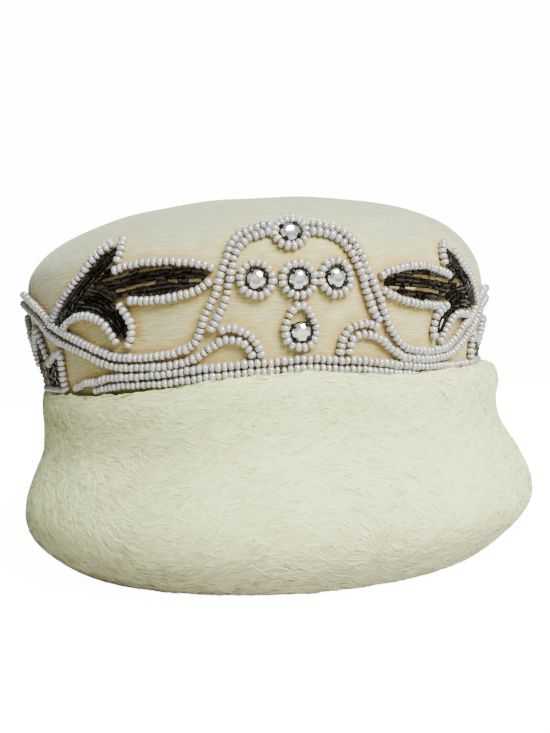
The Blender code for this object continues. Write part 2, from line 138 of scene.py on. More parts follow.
# How far the rim and the upper base row rise, by angle. The back repeats the front.
RIM = [
    (-90.0, -3.6, -0.6),
    (-60.0, -5.4, -1.9),
    (-50.0, -6.0, 1.0),
    (-42.0, -5.8, 2.6),
    (-31.0, -4.4, 2.8),
    (-25.0, -3.2, 3.6),
    (-20.0, -1.8, 4.5),
    (-8.0, -0.5, 5.6),
    (1.0, 0.1, 6.2),
    (12.0, -1.6, 4.8),
    (18.0, -2.6, 3.6),
    (24.0, -2.6, 2.2),
    (30.0, -2.3, 1.2),
    (40.0, -1.6, 1.1),
    (52.0, -0.8, 1.9),
    (72.0, 1.1, 3.6),
    (90.0, 2.0, 4.4),
]

Dent = namedtuple("Dent", "angle height depth spread reach")
DENTS = [
    Dent(-66.0, 66.0, 1.8, 14.0, 9.0),
    Dent(-38.0, 58.0, 1.0, 12.0, 12.0),
    Dent(62.0, 63.0, 1.6, 12.0, 9.0),
    Dent(34.0, 10.0, 2.2, 20.0, 10.0),
    Dent(66.0, 9.0, 3.4, 28.0, 11.0),
    Dent(-46.0, 8.0, 1.8, 24.0, 10.0),
    Dent(118.0, 60.0, 1.4, 14.0, 12.0),
    Dent(-140.0, 62.0, 1.5, 16.0, 12.0),
]

# Strings of beads: the places that each passes through, as (angle, climb)
UPPER_LEFT = [
    (-4.2, 55.9), (-8.7, 53.5), (-11.6, 50.1), (-13.2, 44.0), (-14.8, 37.5), (-16.4, 30.4), (-18.6, 23.8),
    (-19.9, 18.0), (-22.1, 13.0), (-26.5, 10.6), (-33.4, 9.6), (-41.2, 10.8), (-51.0, 18.0), (-59.0, 24.0),
    (-65.6, 32.2), (-73.2, 37.6), (-80.6, 40.6), (-90.0, 41.6),
]
LOWER_LEFT = [
    (-9.8, 7.5), (-10.9, 12.0), (-12.9, 14.3), (-15.8, 14.3), (-18.5, 11.4), (-23.0, 7.5), (-29.1, 6.0),
    (-35.6, 6.1), (-42.1, 7.2), (-51.6, 13.9), (-59.9, 19.5), (-67.6, 28.4), (-74.6, 33.8), (-81.6, 36.8),
    (-90.0, 37.7),
]
UPPER_RIGHT = [
    (3.6, 55.9), (8.6, 53.4), (11.4, 49.8), (13.3, 43.2), (14.7, 36.8), (16.7, 28.8), (18.5, 21.5),
    (20.6, 14.8), (24.1, 9.4), (28.6, 7.7), (33.6, 7.5), (38.9, 9.3), (45.6, 17.2), (50.4, 21.6),
    (53.2, 26.6), (57.0, 31.4), (65.0, 34.4), (77.0, 36.4), (90.0, 37.2),
]
LOWER_RIGHT = [
    (10.3, 7.1), (10.9, 12.2), (12.9, 14.4), (16.3, 13.6), (19.6, 9.8), (23.8, 5.6), (28.8, 4.4), (34.7, 4.4),
    (41.4, 6.3), (48.6, 13.8), (53.4, 19.4), (56.6, 24.6), (61.2, 28.6), (68.6, 31.0), (78.6, 32.6),
    (90.0, 33.2),
]
ARCH_LEFT = [
    (-4.4, 52.3), (-8.5, 50.1), (-10.8, 46.6), (-12.2, 41.4), (-13.2, 35.3), (-14.3, 28.5), (-16.1, 22.9),
    (-18.1, 17.8),
]
ARCH_RIGHT = [
    (3.4, 51.8), (7.4, 50.6), (10.1, 47.0), (11.8, 41.6), (13.0, 35.6), (14.2, 28.6), (15.8, 22.3),
    (17.4, 18.8),
]
HOOK_LEFT = [
    (-16.1, 17.8), (-13.7, 18.6), (-11.0, 16.8), (-8.9, 12.5), (-7.9, 7.6),
]
HOOK_RIGHT = [
    (16.9, 16.8), (14.1, 18.5), (10.8, 17.4), (8.9, 13.2), (8.3, 7.2),
]
UPPER_BASE_ENDS = (-57.4, 50.4)
LOWER_BASE_ENDS = (-50.0, 29.0)
ROW_STEP = 3.25

# The five stones of an arch: place, the turn of the prongs, and how far each leans forward, in degrees
Stone = namedtuple("Stone", "angle climb prong_turn lean")
STONES = {
    "apex": Stone(-0.6, 51.9, 12.0, 12.0),
    "left": Stone(-8.1, 35.3, -22.0, 0.0),
    "middle": Stone(0.0, 34.7, -10.0, 0.0),
    "right": Stone(7.5, 35.0, 18.0, 0.0),
    "drop": Stone(0.1, 16.2, 8.0, 0.0),
}
TEAR_REACH = 0.68
TEAR_SHARPNESS = 6
RING_RADIUS = 5.7
RING_PITCH = 2.32
# How far the middles of the beads are taken to stand off the felt where they are spaced
BEAD_STAND = 1.6

# The white rows round each leaf spray, in order round it, so that together they close its field
SPRAY_LEFT = [
    [(-15.9, 39.6), (-20.7, 42.5), (-28.4, 43.7), (-33.8, 43.3), (-37.6, 42.0)],
    [(-36.5, 44.6), (-35.7, 49.6), (-36.7, 54.8)],
    [(-38.7, 53.2), (-42.9, 47.4), (-47.1, 41.4), (-51.8, 36.1), (-56.6, 30.5), (-61.4, 24.4)],
    [(-56.4, 22.3), (-52.4, 25.6), (-47.7, 27.0), (-43.3, 25.1), (-40.8, 21.0), (-39.1, 15.2)],
    [(-36.7, 14.2), (-35.3, 18.2), (-35.0, 23.6), (-37.2, 30.2)],
    [(-34.7, 31.0), (-30.3, 30.2), (-24.4, 31.0), (-19.8, 32.5), (-16.8, 35.8)],
]
SPRAY_RIGHT = [
    [(17.0, 35.6), (21.4, 38.3), (27.6, 39.5), (33.1, 38.4), (37.5, 36.4)],
    [(36.1, 40.4), (36.0, 45.1), (38.0, 49.7)],
    [(40.7, 46.8), (43.3, 41.8), (47.0, 37.3), (50.4, 32.0), (53.0, 26.4)],
    [(47.7, 21.3), (43.1, 22.3), (39.3, 19.8), (37.3, 15.3), (35.2, 10.3)],
    [(33.2, 12.2), (32.7, 17.3), (33.8, 21.7), (36.9, 25.7)],
    [(34.7, 25.0), (28.4, 25.2), (22.5, 26.8), (19.5, 28.8), (17.5, 30.9)],
]
# Outlines of the palmettes: each corner with the bulge, in mm, of the edge from it to the next corner
PALMETTE_LEFT = [
    (-90.0, -0.6, 0.0), (-62.6, -1.9, 0.4), (-59.4, 13.8, 0.6), (-67.4, 9.4, 0.2), (-70.6, 25.6, 1.2),
    (-80.8, 9.4, 0.0), (-84.0, 19.6, 1.4),
]
PALMETTE_RIGHT = [
    (90.0, 4.7, 0.0), (53.6, 2.2, 0.6), (52.6, 13.6, 0.4), (60.2, 10.4, 0.2), (64.4, 21.6, 1.2),
    (76.4, 10.8, 0.0), (82.2, 18.8, 1.4),
]
LEFT_TIP_CLIMB = 32.2
RIGHT_TIP_CLIMB = 28.4

# Lines that the bugle rows of a field run beside, laid in this order: the rows beside a line, counted from
# it, those of them that have pale beads, and the places that the line passes through
Flow = namedtuple("Flow", "rows pale places")
FLOWS_LEFT = [
    Flow(range(0, 4), (), [(-35.9, 55.3), (-39.8, 50.3), (-45.6, 42.9), (-52.6, 34.4), (-60.6, 24.0)]),
    Flow(
        range(-4, 5), (),
        [(-55.8, 27.2), (-49.5, 30.7), (-43.4, 29.4), (-39.7, 24.7), (-37.9, 19.0), (-37.6, 13.0)]),
    Flow(range(-6, 7), (-2, 1), [(-14.5, 36.8), (-21.7, 38.0), (-30.1, 37.8), (-39.0, 35.8), (-47.7, 33.6)]),
]
FLOWS_RIGHT = [
    Flow(range(-3, 1), (), [(36.6, 51.8), (40.1, 46.0), (44.2, 40.0), (48.9, 33.4), (52.1, 26.2)]),
    Flow(range(-4, 5), (), [(49.0, 25.0), (43.3, 26.0), (38.1, 23.0), (35.4, 17.1), (34.1, 9.3)]),
    Flow(range(-6, 7), (-1, 2), [(15.8, 32.9), (22.2, 32.8), (29.2, 32.2), (37.2, 31.2), (46.9, 32.3)]),
]


def smooth(rows, steps):
    """Points of the Catmull-Rom curve through the rows, with this many steps in each span."""
    rows = np.array(rows, float)
    padded = np.vstack([2 * rows[0] - rows[1], rows, 2 * rows[-1] - rows[-2]])
    t = np.linspace(0.0, 1.0, steps, endpoint=False)[:, None]
    spans = []
    for a, b, c, d in zip(padded, padded[1:], padded[2:], padded[3:]):
        square, cube = 2 * a - 5 * b + 4 * c - d, 3 * b - a - 3 * c + d
        spans.append(0.5 * (2 * b + (c - a) * t + square * t**2 + cube * t**3))
    return np.vstack([*spans, rows[-1:]])


def lengths_along(line):
    """The distance along a line of points to each of them."""
    return np.concatenate([[0.0], np.cumsum(np.linalg.norm(np.diff(line, axis=0), axis=1))])


CROWN_LINE = smooth(CROWN, CROWN_STEPS)
CROWN_CLIMBS = lengths_along(CROWN_LINE[:, :2])
CROWN_CLIMBS -= np.interp(SEAM_HEIGHT, CROWN_LINE[:, 0], CROWN_CLIMBS)
BRIM_LINE = smooth(BRIM, BRIM_STEPS)
BRIM_LENGTHS = lengths_along(BRIM_LINE[:, :2])


def points_at(reach, far, line):
    """The points of a line at some distances along it, from the distances to its own points."""
    return np.stack([np.interp(reach, far, column) for column in line.T], axis=1)


def unit(vectors):
    return vectors / np.maximum(np.linalg.norm(vectors, axis=-1, keepdims=True), 1e-12)


def crown_section(climb):
    return [np.interp(climb, CROWN_CLIMBS, column) for column in CROWN_LINE.T]


def crown_points(angle, climb, proud=0.0):
    """Points this far outside the crown's outer skin, in metres."""
    angle, climb = np.broadcast_arrays(np.radians(angle), np.asarray(climb, float))
    height, half_width, shift = crown_section(climb)
    low, high = crown_section(climb - 0.5), crown_section(climb + 0.5)
    rise, spread = high[0] - low[0], high[1] - low[1]
    length = np.hypot(rise, spread)
    out, up = rise / length, -spread / length
    return MM * np.stack([
        shift - ORIGIN_SHIFT + (half_width + proud * out) * np.sin(angle),
        -(half_width * DEPTH_RATIO + proud * out) * np.cos(angle),
        height + proud * up,
    ], axis=-1)


def degrees_per_mm(angle, climb):
    step = crown_points(angle + 0.5, climb) - crown_points(angle - 0.5, climb)
    return MM / np.linalg.norm(step, axis=-1)


def wrapped(angle):
    """Angles brought into the half turn on either side of the front."""
    return (angle + 180.0) % 360.0 - 180.0


def to_back(angle):
    """The angle at the back that mirrors one at the front."""
    return np.copysign(180.0, angle) - angle


def mirrored(places):
    return [(to_back(angle), *rest) for angle, *rest in places]


def rim_at(angle):
    """The rim's rise and the upper base row's climb at any angles."""
    angle = wrapped(np.asarray(angle, float))
    angle = np.where(np.abs(angle) > 90.0, to_back(angle), angle)
    table = np.array(RIM)
    above = np.clip(np.searchsorted(table[:, 0], angle, side="right"), 1, len(table) - 1)
    low, high = table[above - 1], table[above]
    share = (angle - low[..., 0]) / (high[..., 0] - low[..., 0])
    ease = (share * share * (3 - 2 * share))[..., None]
    return np.moveaxis(low[..., 1:] + ease * (high[..., 1:] - low[..., 1:]), -1, 0)


def dented(angle, height):
    """How far the brim's dents push its wall in."""
    depth = 0.0
    for dent in DENTS:
        aside = wrapped(angle - dent.angle) / dent.spread
        above = (height - dent.height) / dent.reach
        depth = depth + dent.depth * np.exp(-(aside**2) - above**2)
    return depth


def brim_section_points(angle, section, inset=0.0, out=1.0, up=0.0):
    """Points of a brim section, or of a whole array of them, moved in by inset along the way out and up."""
    height, base_width, shift, follow = section
    half_width = base_width - dented(angle, height) - inset * out
    half_depth = half_width + base_width * (DEPTH_RATIO - 1)
    turn = np.radians(angle)
    return MM * np.stack(np.broadcast_arrays(
        shift - ORIGIN_SHIFT + half_width * np.sin(turn),
        -half_depth * np.cos(turn),
        height - inset * up + follow * rim_at(angle)[0],
    ), axis=-1)


def brim_section(along):
    return [np.interp(along, BRIM_LENGTHS, column) for column in BRIM_LINE.T]


def ripples(angle, height, waves):
    """A smooth pattern of waves round the hat, mostly between -1 and 1."""
    rng = np.random.default_rng(waves.seed)
    total = 0.0
    for _ in range(WAVE_COUNT):
        turns = rng.integers(waves.fewest, waves.most + 1)
        wave = turns * np.radians(angle) + rng.uniform(-waves.slant, waves.slant) * height
        total = total + np.sin(wave + rng.uniform(0.0, 2 * np.pi))
    return total * 1.5 / WAVE_COUNT


def brim_points(angle, along, proud=0.0):
    """Points of the brim's uneven outer skin, from angles and distances in mm down from the rim."""
    rim_ease, foot_ease = 12.0, 20.0
    section = brim_section(along)
    low, high = brim_section(along - 0.5), brim_section(along + 0.5)
    fall, spread = low[0] - high[0], low[1] - high[1]
    slope = np.maximum(np.hypot(fall, spread), 1e-9)
    ease = np.clip(along / rim_ease, 0.0, 1.0) * np.clip((BRIM_LENGTHS[-1] - along) / foot_ease, 0.0, 1.0)
    puff = BRIM_SWELL * ripples(angle, along, BRIM_WAVES) * ease
    return brim_section_points(angle, section, -proud - puff, fall / slope, -spread / slope)


def colour_setting(name, description, default):
    return FloatVectorProperty(
        name=name, description=description, default=default, subtype="COLOR", min=0.0, max=1.0)


def size_setting(name, description, default, low, high):
    """A setting in mm."""
    return FloatProperty(name=name, description=f"{description}, in mm", default=default, min=low, max=high)


class HatFelt(bpy.types.PropertyGroup):
    crown_colour: colour_setting("Crown", "Colour of the crown's clean felt", (0.335, 0.385, 0.25))
    ground_colour: colour_setting("Ground", "Colour of the felt between the beads", (0.475, 0.405, 0.155))
    stain_colour: colour_setting("Stain", "Colour of the stains beside the beads", (0.33, 0.19, 0.045))
    # The brim felt, a little darker than the nap as painted shade under the hairs
    brim_shaded_colour: colour_setting("Brim", "Colour of the brim's felt", (0.64, 0.69, 0.39))
    nap_colour: colour_setting("Nap", "Colour of the brim's long hairs", (0.66, 0.735, 0.39))
    nap_hairs: IntProperty(
        name="Hairs", description="Hairs in each quarter of the brim", default=36000, min=100, max=48000)
    nap_length: size_setting("Hair length", "Mean length of a hair", 8.5, 1.0, 20.0)
    nap_width: size_setting("Hair width", "Width of a hair's middle", 0.1, 0.05, 1.0)


class HatBeads(bpy.types.PropertyGroup):
    pearl_colour: colour_setting("Pearl", "Colour of the seed beads", (0.36, 0.375, 0.42))
    # The aged thread's brown, painted lighter as light glowing through the glass beads
    glowing_thread_colour: colour_setting("Thread", "Colour of the aged thread", (0.50, 0.36, 0.17))
    bugle_colour: colour_setting("Bugle", "Colour of the dark bugle beads", (0.0025, 0.002, 0.0015))
    pale_colour: colour_setting("Pale bugle", "Colour of the worn, pale bugle beads", (0.19, 0.145, 0.075))
    bead_radius: size_setting("Bead radius", "Outer radius of a seed bead", 1.74, 0.5, 4.0)
    bead_pitch: size_setting("Bead pitch", "Distance between seed beads", 2.38, 0.5, 6.0)
    bugle_length: size_setting("Bugle length", "Mean length of a bugle bead", 4.1, 0.5, 8.0)
    bugle_radius: size_setting("Bugle radius", "Radius of a bugle bead", 0.74, 0.2, 2.0)
    bugle_row: size_setting("Bugle rows", "Distance between rows of bugle beads", 1.64, 0.5, 4.0)
    crystal_colour: colour_setting("Crystal", "Colour of the foiled stones", (0.86, 0.88, 0.90))


class HatStudio(bpy.types.PropertyGroup):
    eye: FloatVectorProperty(
        name="Camera", description="Place of the camera, in mm", default=(-65.4, -427.5, 84.5), size=3)
    heading: FloatProperty(
        name="Heading", description="Turn of the view from +Y towards +X, in degrees", default=9.0)
    roll: FloatProperty(
        name="Roll", description="Roll of the camera, in degrees", default=2.7)
    focal_pixels: FloatProperty(
        name="Focal length", description="Focal length in pixels of the picture", default=903.0)
    floor_colour: FloatVectorProperty(
        name="Floor", description="Colour of the floor and backdrop", subtype="COLOR",
        default=(0.93, 0.93, 0.93), min=0.0, max=1.0)
    floor_glow: FloatProperty(
        name="Floor glow", description="Light that the floor adds in the picture alone",
        default=14.0, min=0.0)


def feed(tree, made, inputs):
    """Sets inputs of a node to values, or links them from sockets."""
    for socket, value in inputs.items():
        if isinstance(value, bpy.types.NodeSocket):
            tree.links.new(value, made.inputs[socket])
        else:
            made.inputs[socket].default_value = value


def node(tree, kind, inputs=None, **settings):
    """A shader node with its settings and inputs."""
    made = tree.nodes.new(kind)
    for name, value in settings.items():
        setattr(made, name, value)
    feed(tree, made, inputs or {})
    return made


def placed(tree, group, **inputs):
    """The outputs of a node group that is placed in a tree."""
    return node(tree, "ShaderNodeGroup", inputs, node_tree=group).outputs


def noise(tree, place, scale, detail=2.0, **inputs):
    inputs = {"Vector": place, "Scale": scale, "Detail": detail, **inputs}
    return node(tree, "ShaderNodeTexNoise", inputs).outputs


def vector(tree, operation, first, second):
    """A sum of vectors, or a vector and its scale."""
    other = "Scale" if operation == "SCALE" else 1
    return node(tree, "ShaderNodeVectorMath", {0: first, other: second}, operation=operation).outputs[0]


def maths(tree, operation, first, second, clamp=False):
    made = node(tree, "ShaderNodeMath", {0: first, 1: second}, operation=operation, use_clamp=clamp)
    return made.outputs[0]


def layered(tree, colour, *layers):
    """A colour with others mixed over it in turn, each by its share. Colours are sockets or plain."""
    for share, over in layers:
        first, second = [
            each if isinstance(each, bpy.types.NodeSocket) else (*each, 1.0) for each in (colour, over)]
        colour = node(tree, "ShaderNodeMix", {0: share, 6: first, 7: second}, data_type="RGBA").outputs[2]
    return colour


def ranged(tree, value, low, high, to_low=0.0, to_high=1.0):
    made = node(
        tree, "ShaderNodeMapRange",
        {"Value": value, "From Min": low, "From Max": high, "To Min": to_low, "To Max": to_high},
        interpolation_type="SMOOTHSTEP")
    return made.outputs[0]


def effect(name, inputs, outputs):
    """A shader node group with named sockets, and its input and output nodes."""
    group = bpy.data.node_groups.new(name, "ShaderNodeTree")
    for label, kind in inputs:
        group.interface.new_socket(label, in_out="INPUT", socket_type=f"NodeSocket{kind}")
    for label, kind in outputs:
        group.interface.new_socket(label, in_out="OUTPUT", socket_type=f"NodeSocket{kind}")
    return group, group.nodes.new("NodeGroupInput").outputs, group.nodes.new("NodeGroupOutput").inputs


def brushed_fibres():
    """Fine streaks along X of a texture place, with a slow wander, and soft clumps."""
    if "Brushed fibres" in bpy.data.node_groups:
        return bpy.data.node_groups["Brushed fibres"]
    group, given, result = effect(
        "Brushed fibres",
        [("Place", "Vector"), ("Fineness", "Float"), ("Stretch", "Float"), ("Wander", "Float")],
        [("Streaks", "Float"), ("Clumps", "Float")])
    centred = vector(group, "SUBTRACT", noise(group, given["Place"], 0.7)["Color"], (0.5, 0.5, 0.5))
    moved = vector(group, "ADD", given["Place"], vector(group, "SCALE", centred, given["Wander"]))
    squeeze = node(group, "ShaderNodeCombineXYZ", {"X": given["Stretch"], "Y": 1.0, "Z": 1.0}).outputs[0]
    drawn = vector(group, "MULTIPLY", moved, squeeze)
    fine = noise(group, drawn, given["Fineness"], 4.0, Roughness=0.62)
    clumps = noise(group, drawn, maths(group, "MULTIPLY", given["Fineness"], 0.14), 3.0)
    group.links.new(fine[0], result["Streaks"])
    group.links.new(clumps[0], result["Clumps"])
    return group


def age_marks():
    """A mask of small scattered marks and a slow cloudiness, on the piece's own coordinates."""
    if "Age marks" in bpy.data.node_groups:
        return bpy.data.node_groups["Age marks"]
    group, given, result = effect(
        "Age marks", [("Place", "Vector"), ("Scale", "Float"), ("Rarity", "Float")],
        [("Marks", "Float"), ("Cloud", "Float")])
    spots = noise(group, given["Place"], given["Scale"], 3.0)[0]
    high = maths(group, "ADD", given["Rarity"], 0.1)
    marks = node(group, "ShaderNodeMapRange", {"Value": spots, "From Min": given["Rarity"], "From Max": high})
    group.links.new(marks.outputs[0], result["Marks"])
    group.links.new(noise(group, given["Place"], 22.0)[0], result["Cloud"])
    return group


def new_material(name):
    """A material with its tree and its shader."""
    made = bpy.data.materials.new(name)
    made.use_nodes = True
    return made, made.node_tree, made.node_tree.nodes["Principled BSDF"]


def on_piece(tree):
    """Object coordinates."""
    return node(tree, "ShaderNodeTexCoord").outputs["Object"]


def attribute(tree, name):
    return node(tree, "ShaderNodeAttribute", attribute_name=name).outputs["Fac"]


def felt_effects(tree, fineness, stretch, wander, mark_scale, rarity):
    """The outputs of the fibres, on the felt's UV map, and of the age marks, on the piece."""
    flat = node(tree, "ShaderNodeUVMap", uv_map="felt").outputs[0]
    fibres = placed(tree, brushed_fibres(), Place=flat, Fineness=fineness, Stretch=stretch, Wander=wander)
    return fibres, placed(tree, age_marks(), Place=on_piece(tree), Scale=mark_scale, Rarity=rarity)


def fibre_bump(tree, fibres, distance, strength):
    height = maths(tree, "ADD", fibres["Streaks"], fibres["Clumps"])
    bump = node(tree, "ShaderNodeBump", {"Height": height, "Distance": distance, "Strength": strength})
    return bump.outputs[0]


def crown_felt_material(felt):
    """Smooth pale felt, warm and stained between the beads, with fine fibres drawn round the crown."""
    made, tree, shader = new_material("brushed crown felt")
    fibres, marks = felt_effects(tree, 13.0, 0.09, 0.5, 160.0, 0.66)
    cloud = ranged(tree, marks["Cloud"], 0.35, 0.65, 0.5, 1.0)
    clumps = ranged(tree, fibres["Clumps"], 0.3, 0.7, 0.6, 1.3)
    soaked = maths(tree, "MULTIPLY", attribute(tree, "stain"), cloud)
    soaked = maths(tree, "MULTIPLY", soaked, clumps, clamp=True)
    dark_fibre = ranged(tree, fibres["Streaks"], 0.3, 0.52, 0.5, 0.0)
    pale_fibre = ranged(tree, fibres["Streaks"], 0.5, 0.72, 0.0, 0.5)
    colour = layered(
        tree, felt.crown_colour, (attribute(tree, "warmth"), felt.ground_colour), (soaked, felt.stain_colour),
        (dark_fibre, (0.24, 0.21, 0.08)), (pale_fibre, (0.60, 0.61, 0.40)),
        (maths(tree, "MULTIPLY", marks["Marks"], 0.35), (0.26, 0.16, 0.06)),
        # Dark brown under the leaf fields: the dark thread there, and painted shade under the bugles
        (attribute(tree, "soot"), (0.15, 0.10, 0.045)))
    feed(tree, shader, {
        "Base Color": colour, "Roughness": 0.95, "Specular IOR Level": 0.15, "Sheen Weight": 0.25,
        "Sheen Roughness": 0.5, "Normal": fibre_bump(tree, fibres, 0.0006, 0.7)})
    return made


def brim_felt_material(felt):
    """The felt under the nap, a little darker than the hairs as painted shade under them."""
    made, tree, shader = new_material("brim felt")
    fibres, marks = felt_effects(tree, 14.0, 0.18, 1.2, 70.0, 0.68)
    # The felt's colour is a little darker than the nap's: painted shade under the hairs
    colour = layered(
        tree, felt.brim_shaded_colour, (ranged(tree, fibres["Streaks"], 0.3, 0.65, 0.3, 0.0), (0.60, 0.66, 0.34)),
        (maths(tree, "MULTIPLY", marks["Marks"], 0.5), (0.48, 0.36, 0.22)))
    feed(tree, shader, {
        "Base Color": colour, "Roughness": 0.97, "Specular IOR Level": 0.1, "Sheen Weight": 0.2,
        "Normal": fibre_bump(tree, fibres, 0.0008, 0.6)})
    return made


def nap_material(felt):
    """The long hairs: pale, each a little different, with soiled patches low on the brim."""
    made, tree, shader = new_material("wool nap")
    place = on_piece(tree)
    marks = placed(tree, age_marks(), Place=place, Scale=45.0, Rarity=0.66)
    height = node(tree, "ShaderNodeSeparateXYZ", {0: place}).outputs["Z"]
    darker = ranged(tree, attribute(tree, "tone"), 0.0, 1.0, 0.48, 0.0)
    colour = layered(
        tree, felt.nap_colour, (darker, (0.50, 0.545, 0.30)),
        (ranged(tree, marks["Cloud"], 0.4, 0.7, 0.0, 0.25), (0.66, 0.65, 0.39)),
        (ranged(tree, height, 0.003, 0.034, 0.5, 0.0), (0.47, 0.40, 0.31)),
        (maths(tree, "MULTIPLY", marks["Marks"], 0.35), (0.50, 0.38, 0.24)))
    feed(tree, shader, {
        "Base Color": colour, "Roughness": 0.8, "Specular IOR Level": 0.2, "Sheen Weight": 0.15})
    return made


def pearl_material(beads):
    """White pearl beads, each faintly blue or pink, with brown thread at their holes, painted lighter as
    light glowing through the glass.
    """
    made, tree, shader = new_material("pearl seed beads")
    grime = attribute(tree, "grime")
    ramp = node(tree, "ShaderNodeValToRGB", {"Fac": attribute(tree, "tint")})
    stops = ramp.color_ramp.elements
    stops[0].color = (0.31, 0.38, 0.50, 1.0)
    stops[1].color = (0.48, 0.41, 0.40, 1.0)
    stops.new(0.5).color = (*beads.pearl_colour, 1.0)
    feed(tree, shader, {
        # Thread brown at the holes, painted lighter as light glowing through the glass
        "Base Color": layered(tree, ramp.outputs[0], (grime, beads.glowing_thread_colour)),
        "Roughness": ranged(tree, grime, 0.0, 1.0, 0.16, 0.7), "Metallic": 0.2, "IOR": 1.85,
        "Coat Weight": 1.0, "Coat Roughness": 0.06})
    return made


def bugle_material(beads):
    """Dark glass bugles with a worn metallic lining, some of them pale."""
    made, tree, shader = new_material("dark bugle beads")
    wear = ranged(tree, noise(tree, on_piece(tree), 900.0)[0], 0.5, 0.72)
    pale = ranged(tree, attribute(tree, "tint"), 0.55, 0.8)
    feed(tree, shader, {
        "Base Color": layered(
            tree, beads.bugle_colour, (wear, (0.02, 0.012, 0.007)), (pale, beads.pale_colour)),
        "Roughness": ranged(tree, pale, 0.0, 1.0, 0.13, 0.3), "Specular IOR Level": 0.36,
        "Metallic": ranged(tree, pale, 0.0, 1.0, 0.1, 0.8)})
    return made


def crystal_material(beads):
    """Foil-backed crystal: bright facets, with patches painted dimmer as darker reflections."""
    made, tree, shader = new_material("foiled crystal")
    # Painted reflection: patches dimmed as if the facets mirrored darker surroundings
    dim_reflection = ranged(tree, noise(tree, on_piece(tree), 700.0)[0], 0.45, 0.7, 0.0, 0.5)
    feed(tree, shader, {
        "Base Color": layered(tree, beads.crystal_colour, (dim_reflection, (0.55, 0.57, 0.60))), "Metallic": 0.85,
        "Roughness": 0.12, "Coat Weight": 1.0, "Coat Roughness": 0.02})
    return made


def setting_material():
    """Blackened metal with brighter worn spots."""
    made, tree, shader = new_material("blackened setting")
    wear = noise(tree, on_piece(tree), 1500.0, 3.0)[0]
    spots = ranged(tree, wear, 0.5, 0.75)
    feed(tree, shader, {
        "Base Color": layered(tree, (0.006, 0.005, 0.006), (spots, (0.035, 0.03, 0.028))),
        "Roughness": ranged(tree, wear, 0.3, 0.8, 0.5, 0.25), "Metallic": 0.7})
    return made


def mesh_of(bm, name, smooth_shading=True):
    mesh = bpy.data.meshes.new(name)
    bm.to_mesh(mesh)
    bm.free()
    shade(mesh, smooth_shading)
    return mesh


def shade(mesh, smooth_shading):
    if smooth_shading:
        mesh.shade_smooth()
    else:
        mesh.shade_flat()


def show(name, mesh, finish, slot, *nodes):
    """An object for a mesh, riding on the hat and standing for the solids that it replaces."""
    piece = bpy.data.objects.new(name, mesh)
    bpy.context.scene.collection.objects.link(piece)
    mesh.materials.append(finish)
    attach(piece, ROOT)
    if nodes:
        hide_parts(*nodes)


def extruded(bm, edges):
    """The corners and the open edges of a ring that is extruded from a ring of edges."""
    made = bmesh.ops.extrude_edge_only(bm, edges=edges)["geom"]
    corners = [item for item in made if isinstance(item, bmesh.types.BMVert)]
    return corners, [item for item in made if isinstance(item, bmesh.types.BMEdge) and item.is_boundary]


def turned(rings, along):
    """A wall through rings of points, with each corner's angle and distance along the section kept on it."""
    bm = bmesh.new()
    bmesh.ops.create_circle(bm, segments=len(rings[0]), radius=1.0)
    number = bm.verts.layers.int.new("number")
    far = bm.verts.layers.float.new("along")
    for index, corner in enumerate(bm.verts):
        corner[number] = index
        corner[far] = along[0]
        corner.co = rings[0][index]
    first = edges = list(bm.edges)
    for ring, distance in zip(rings[1:], along[1:]):
        corners, edges = extruded(bm, edges)
        for corner in corners:
            corner.co = ring[corner[number]]
            corner[far] = distance
    return bm, first, edges


def spun(profile, axis, steps, closed=False):
    """A surface made by turning a profile of places in X and Z once round an axis."""
    bm = bmesh.new()
    corners = [bm.verts.new((x, 0.0, z)) for x, z in profile]
    others = [*corners[1:], corners[0]] if closed else corners[1:]
    edges = [bm.edges.new(pair) for pair in zip(corners, others)]
    bmesh.ops.spin(
        bm, geom=[*corners, *edges], axis=axis, cent=(0.0, 0.0, 0.0), angle=2 * math.pi, steps=steps,
        use_merge=True)
    bmesh.ops.remove_doubles(bm, verts=bm.verts, dist=WELD)
    return bm


def stacked(rows, sides):
    """A wall through rings, closed below, and its upper edges. A row is a ring's radius, height and turn."""
    bm = bmesh.new()
    bmesh.ops.create_circle(bm, segments=sides, radius=rows[0][0] * MM)
    bmesh.ops.translate(bm, vec=(0.0, 0.0, rows[0][1] * MM), verts=bm.verts)
    base = edges = list(bm.edges)
    for (radius, height, turn), (wide, high, twist) in zip(rows, rows[1:]):
        corners, edges = extruded(bm, edges)
        bmesh.ops.scale(bm, vec=(wide / radius, wide / radius, 1.0), verts=corners)
        bmesh.ops.translate(bm, vec=(0.0, 0.0, (high - height) * MM), verts=corners)
        bmesh.ops.rotate(bm, matrix=Matrix.Rotation(math.radians(twist - turn), 3, "Z"), verts=corners)
    bmesh.ops.contextual_create(bm, geom=base)
    return bm, edges


def close_with_pole(bm, edges, pole):
    face = bmesh.ops.contextual_create(bm, geom=edges)["faces"]
    middle = bmesh.ops.poke(bm, faces=face)["verts"][0]
    middle.co = pole


def facing_out(bm):
    bmesh.ops.recalc_face_normals(bm, faces=bm.faces)
    if bm.calc_volume(signed=True) < 0.0:
        bmesh.ops.reverse_faces(bm, faces=bm.faces)


def gathered(items, key, kind=np.float32, width=1):
    """One property of many mesh items."""
    values = np.zeros(len(items) * width, kind)
    items.foreach_get(key, values)
    return values


def read(mesh, name, kind=np.float32):
    return gathered(mesh.attributes[name].data, "value", kind)


def keep(mesh, name, values):
    """Stores a value for each vertex."""
    layer = mesh.attributes.new(name, "FLOAT", "POINT")
    layer.data.foreach_set("value", np.asarray(values, np.float32))


def coordinates(mesh):
    return gathered(mesh.vertices, "co", width=3).reshape(-1, 3)


def faces_of(mesh):
    """The vertex of each loop, and the first loop of each face."""
    return gathered(mesh.loops, "vertex_index", np.int32), gathered(mesh.polygons, "loop_start", np.int32)


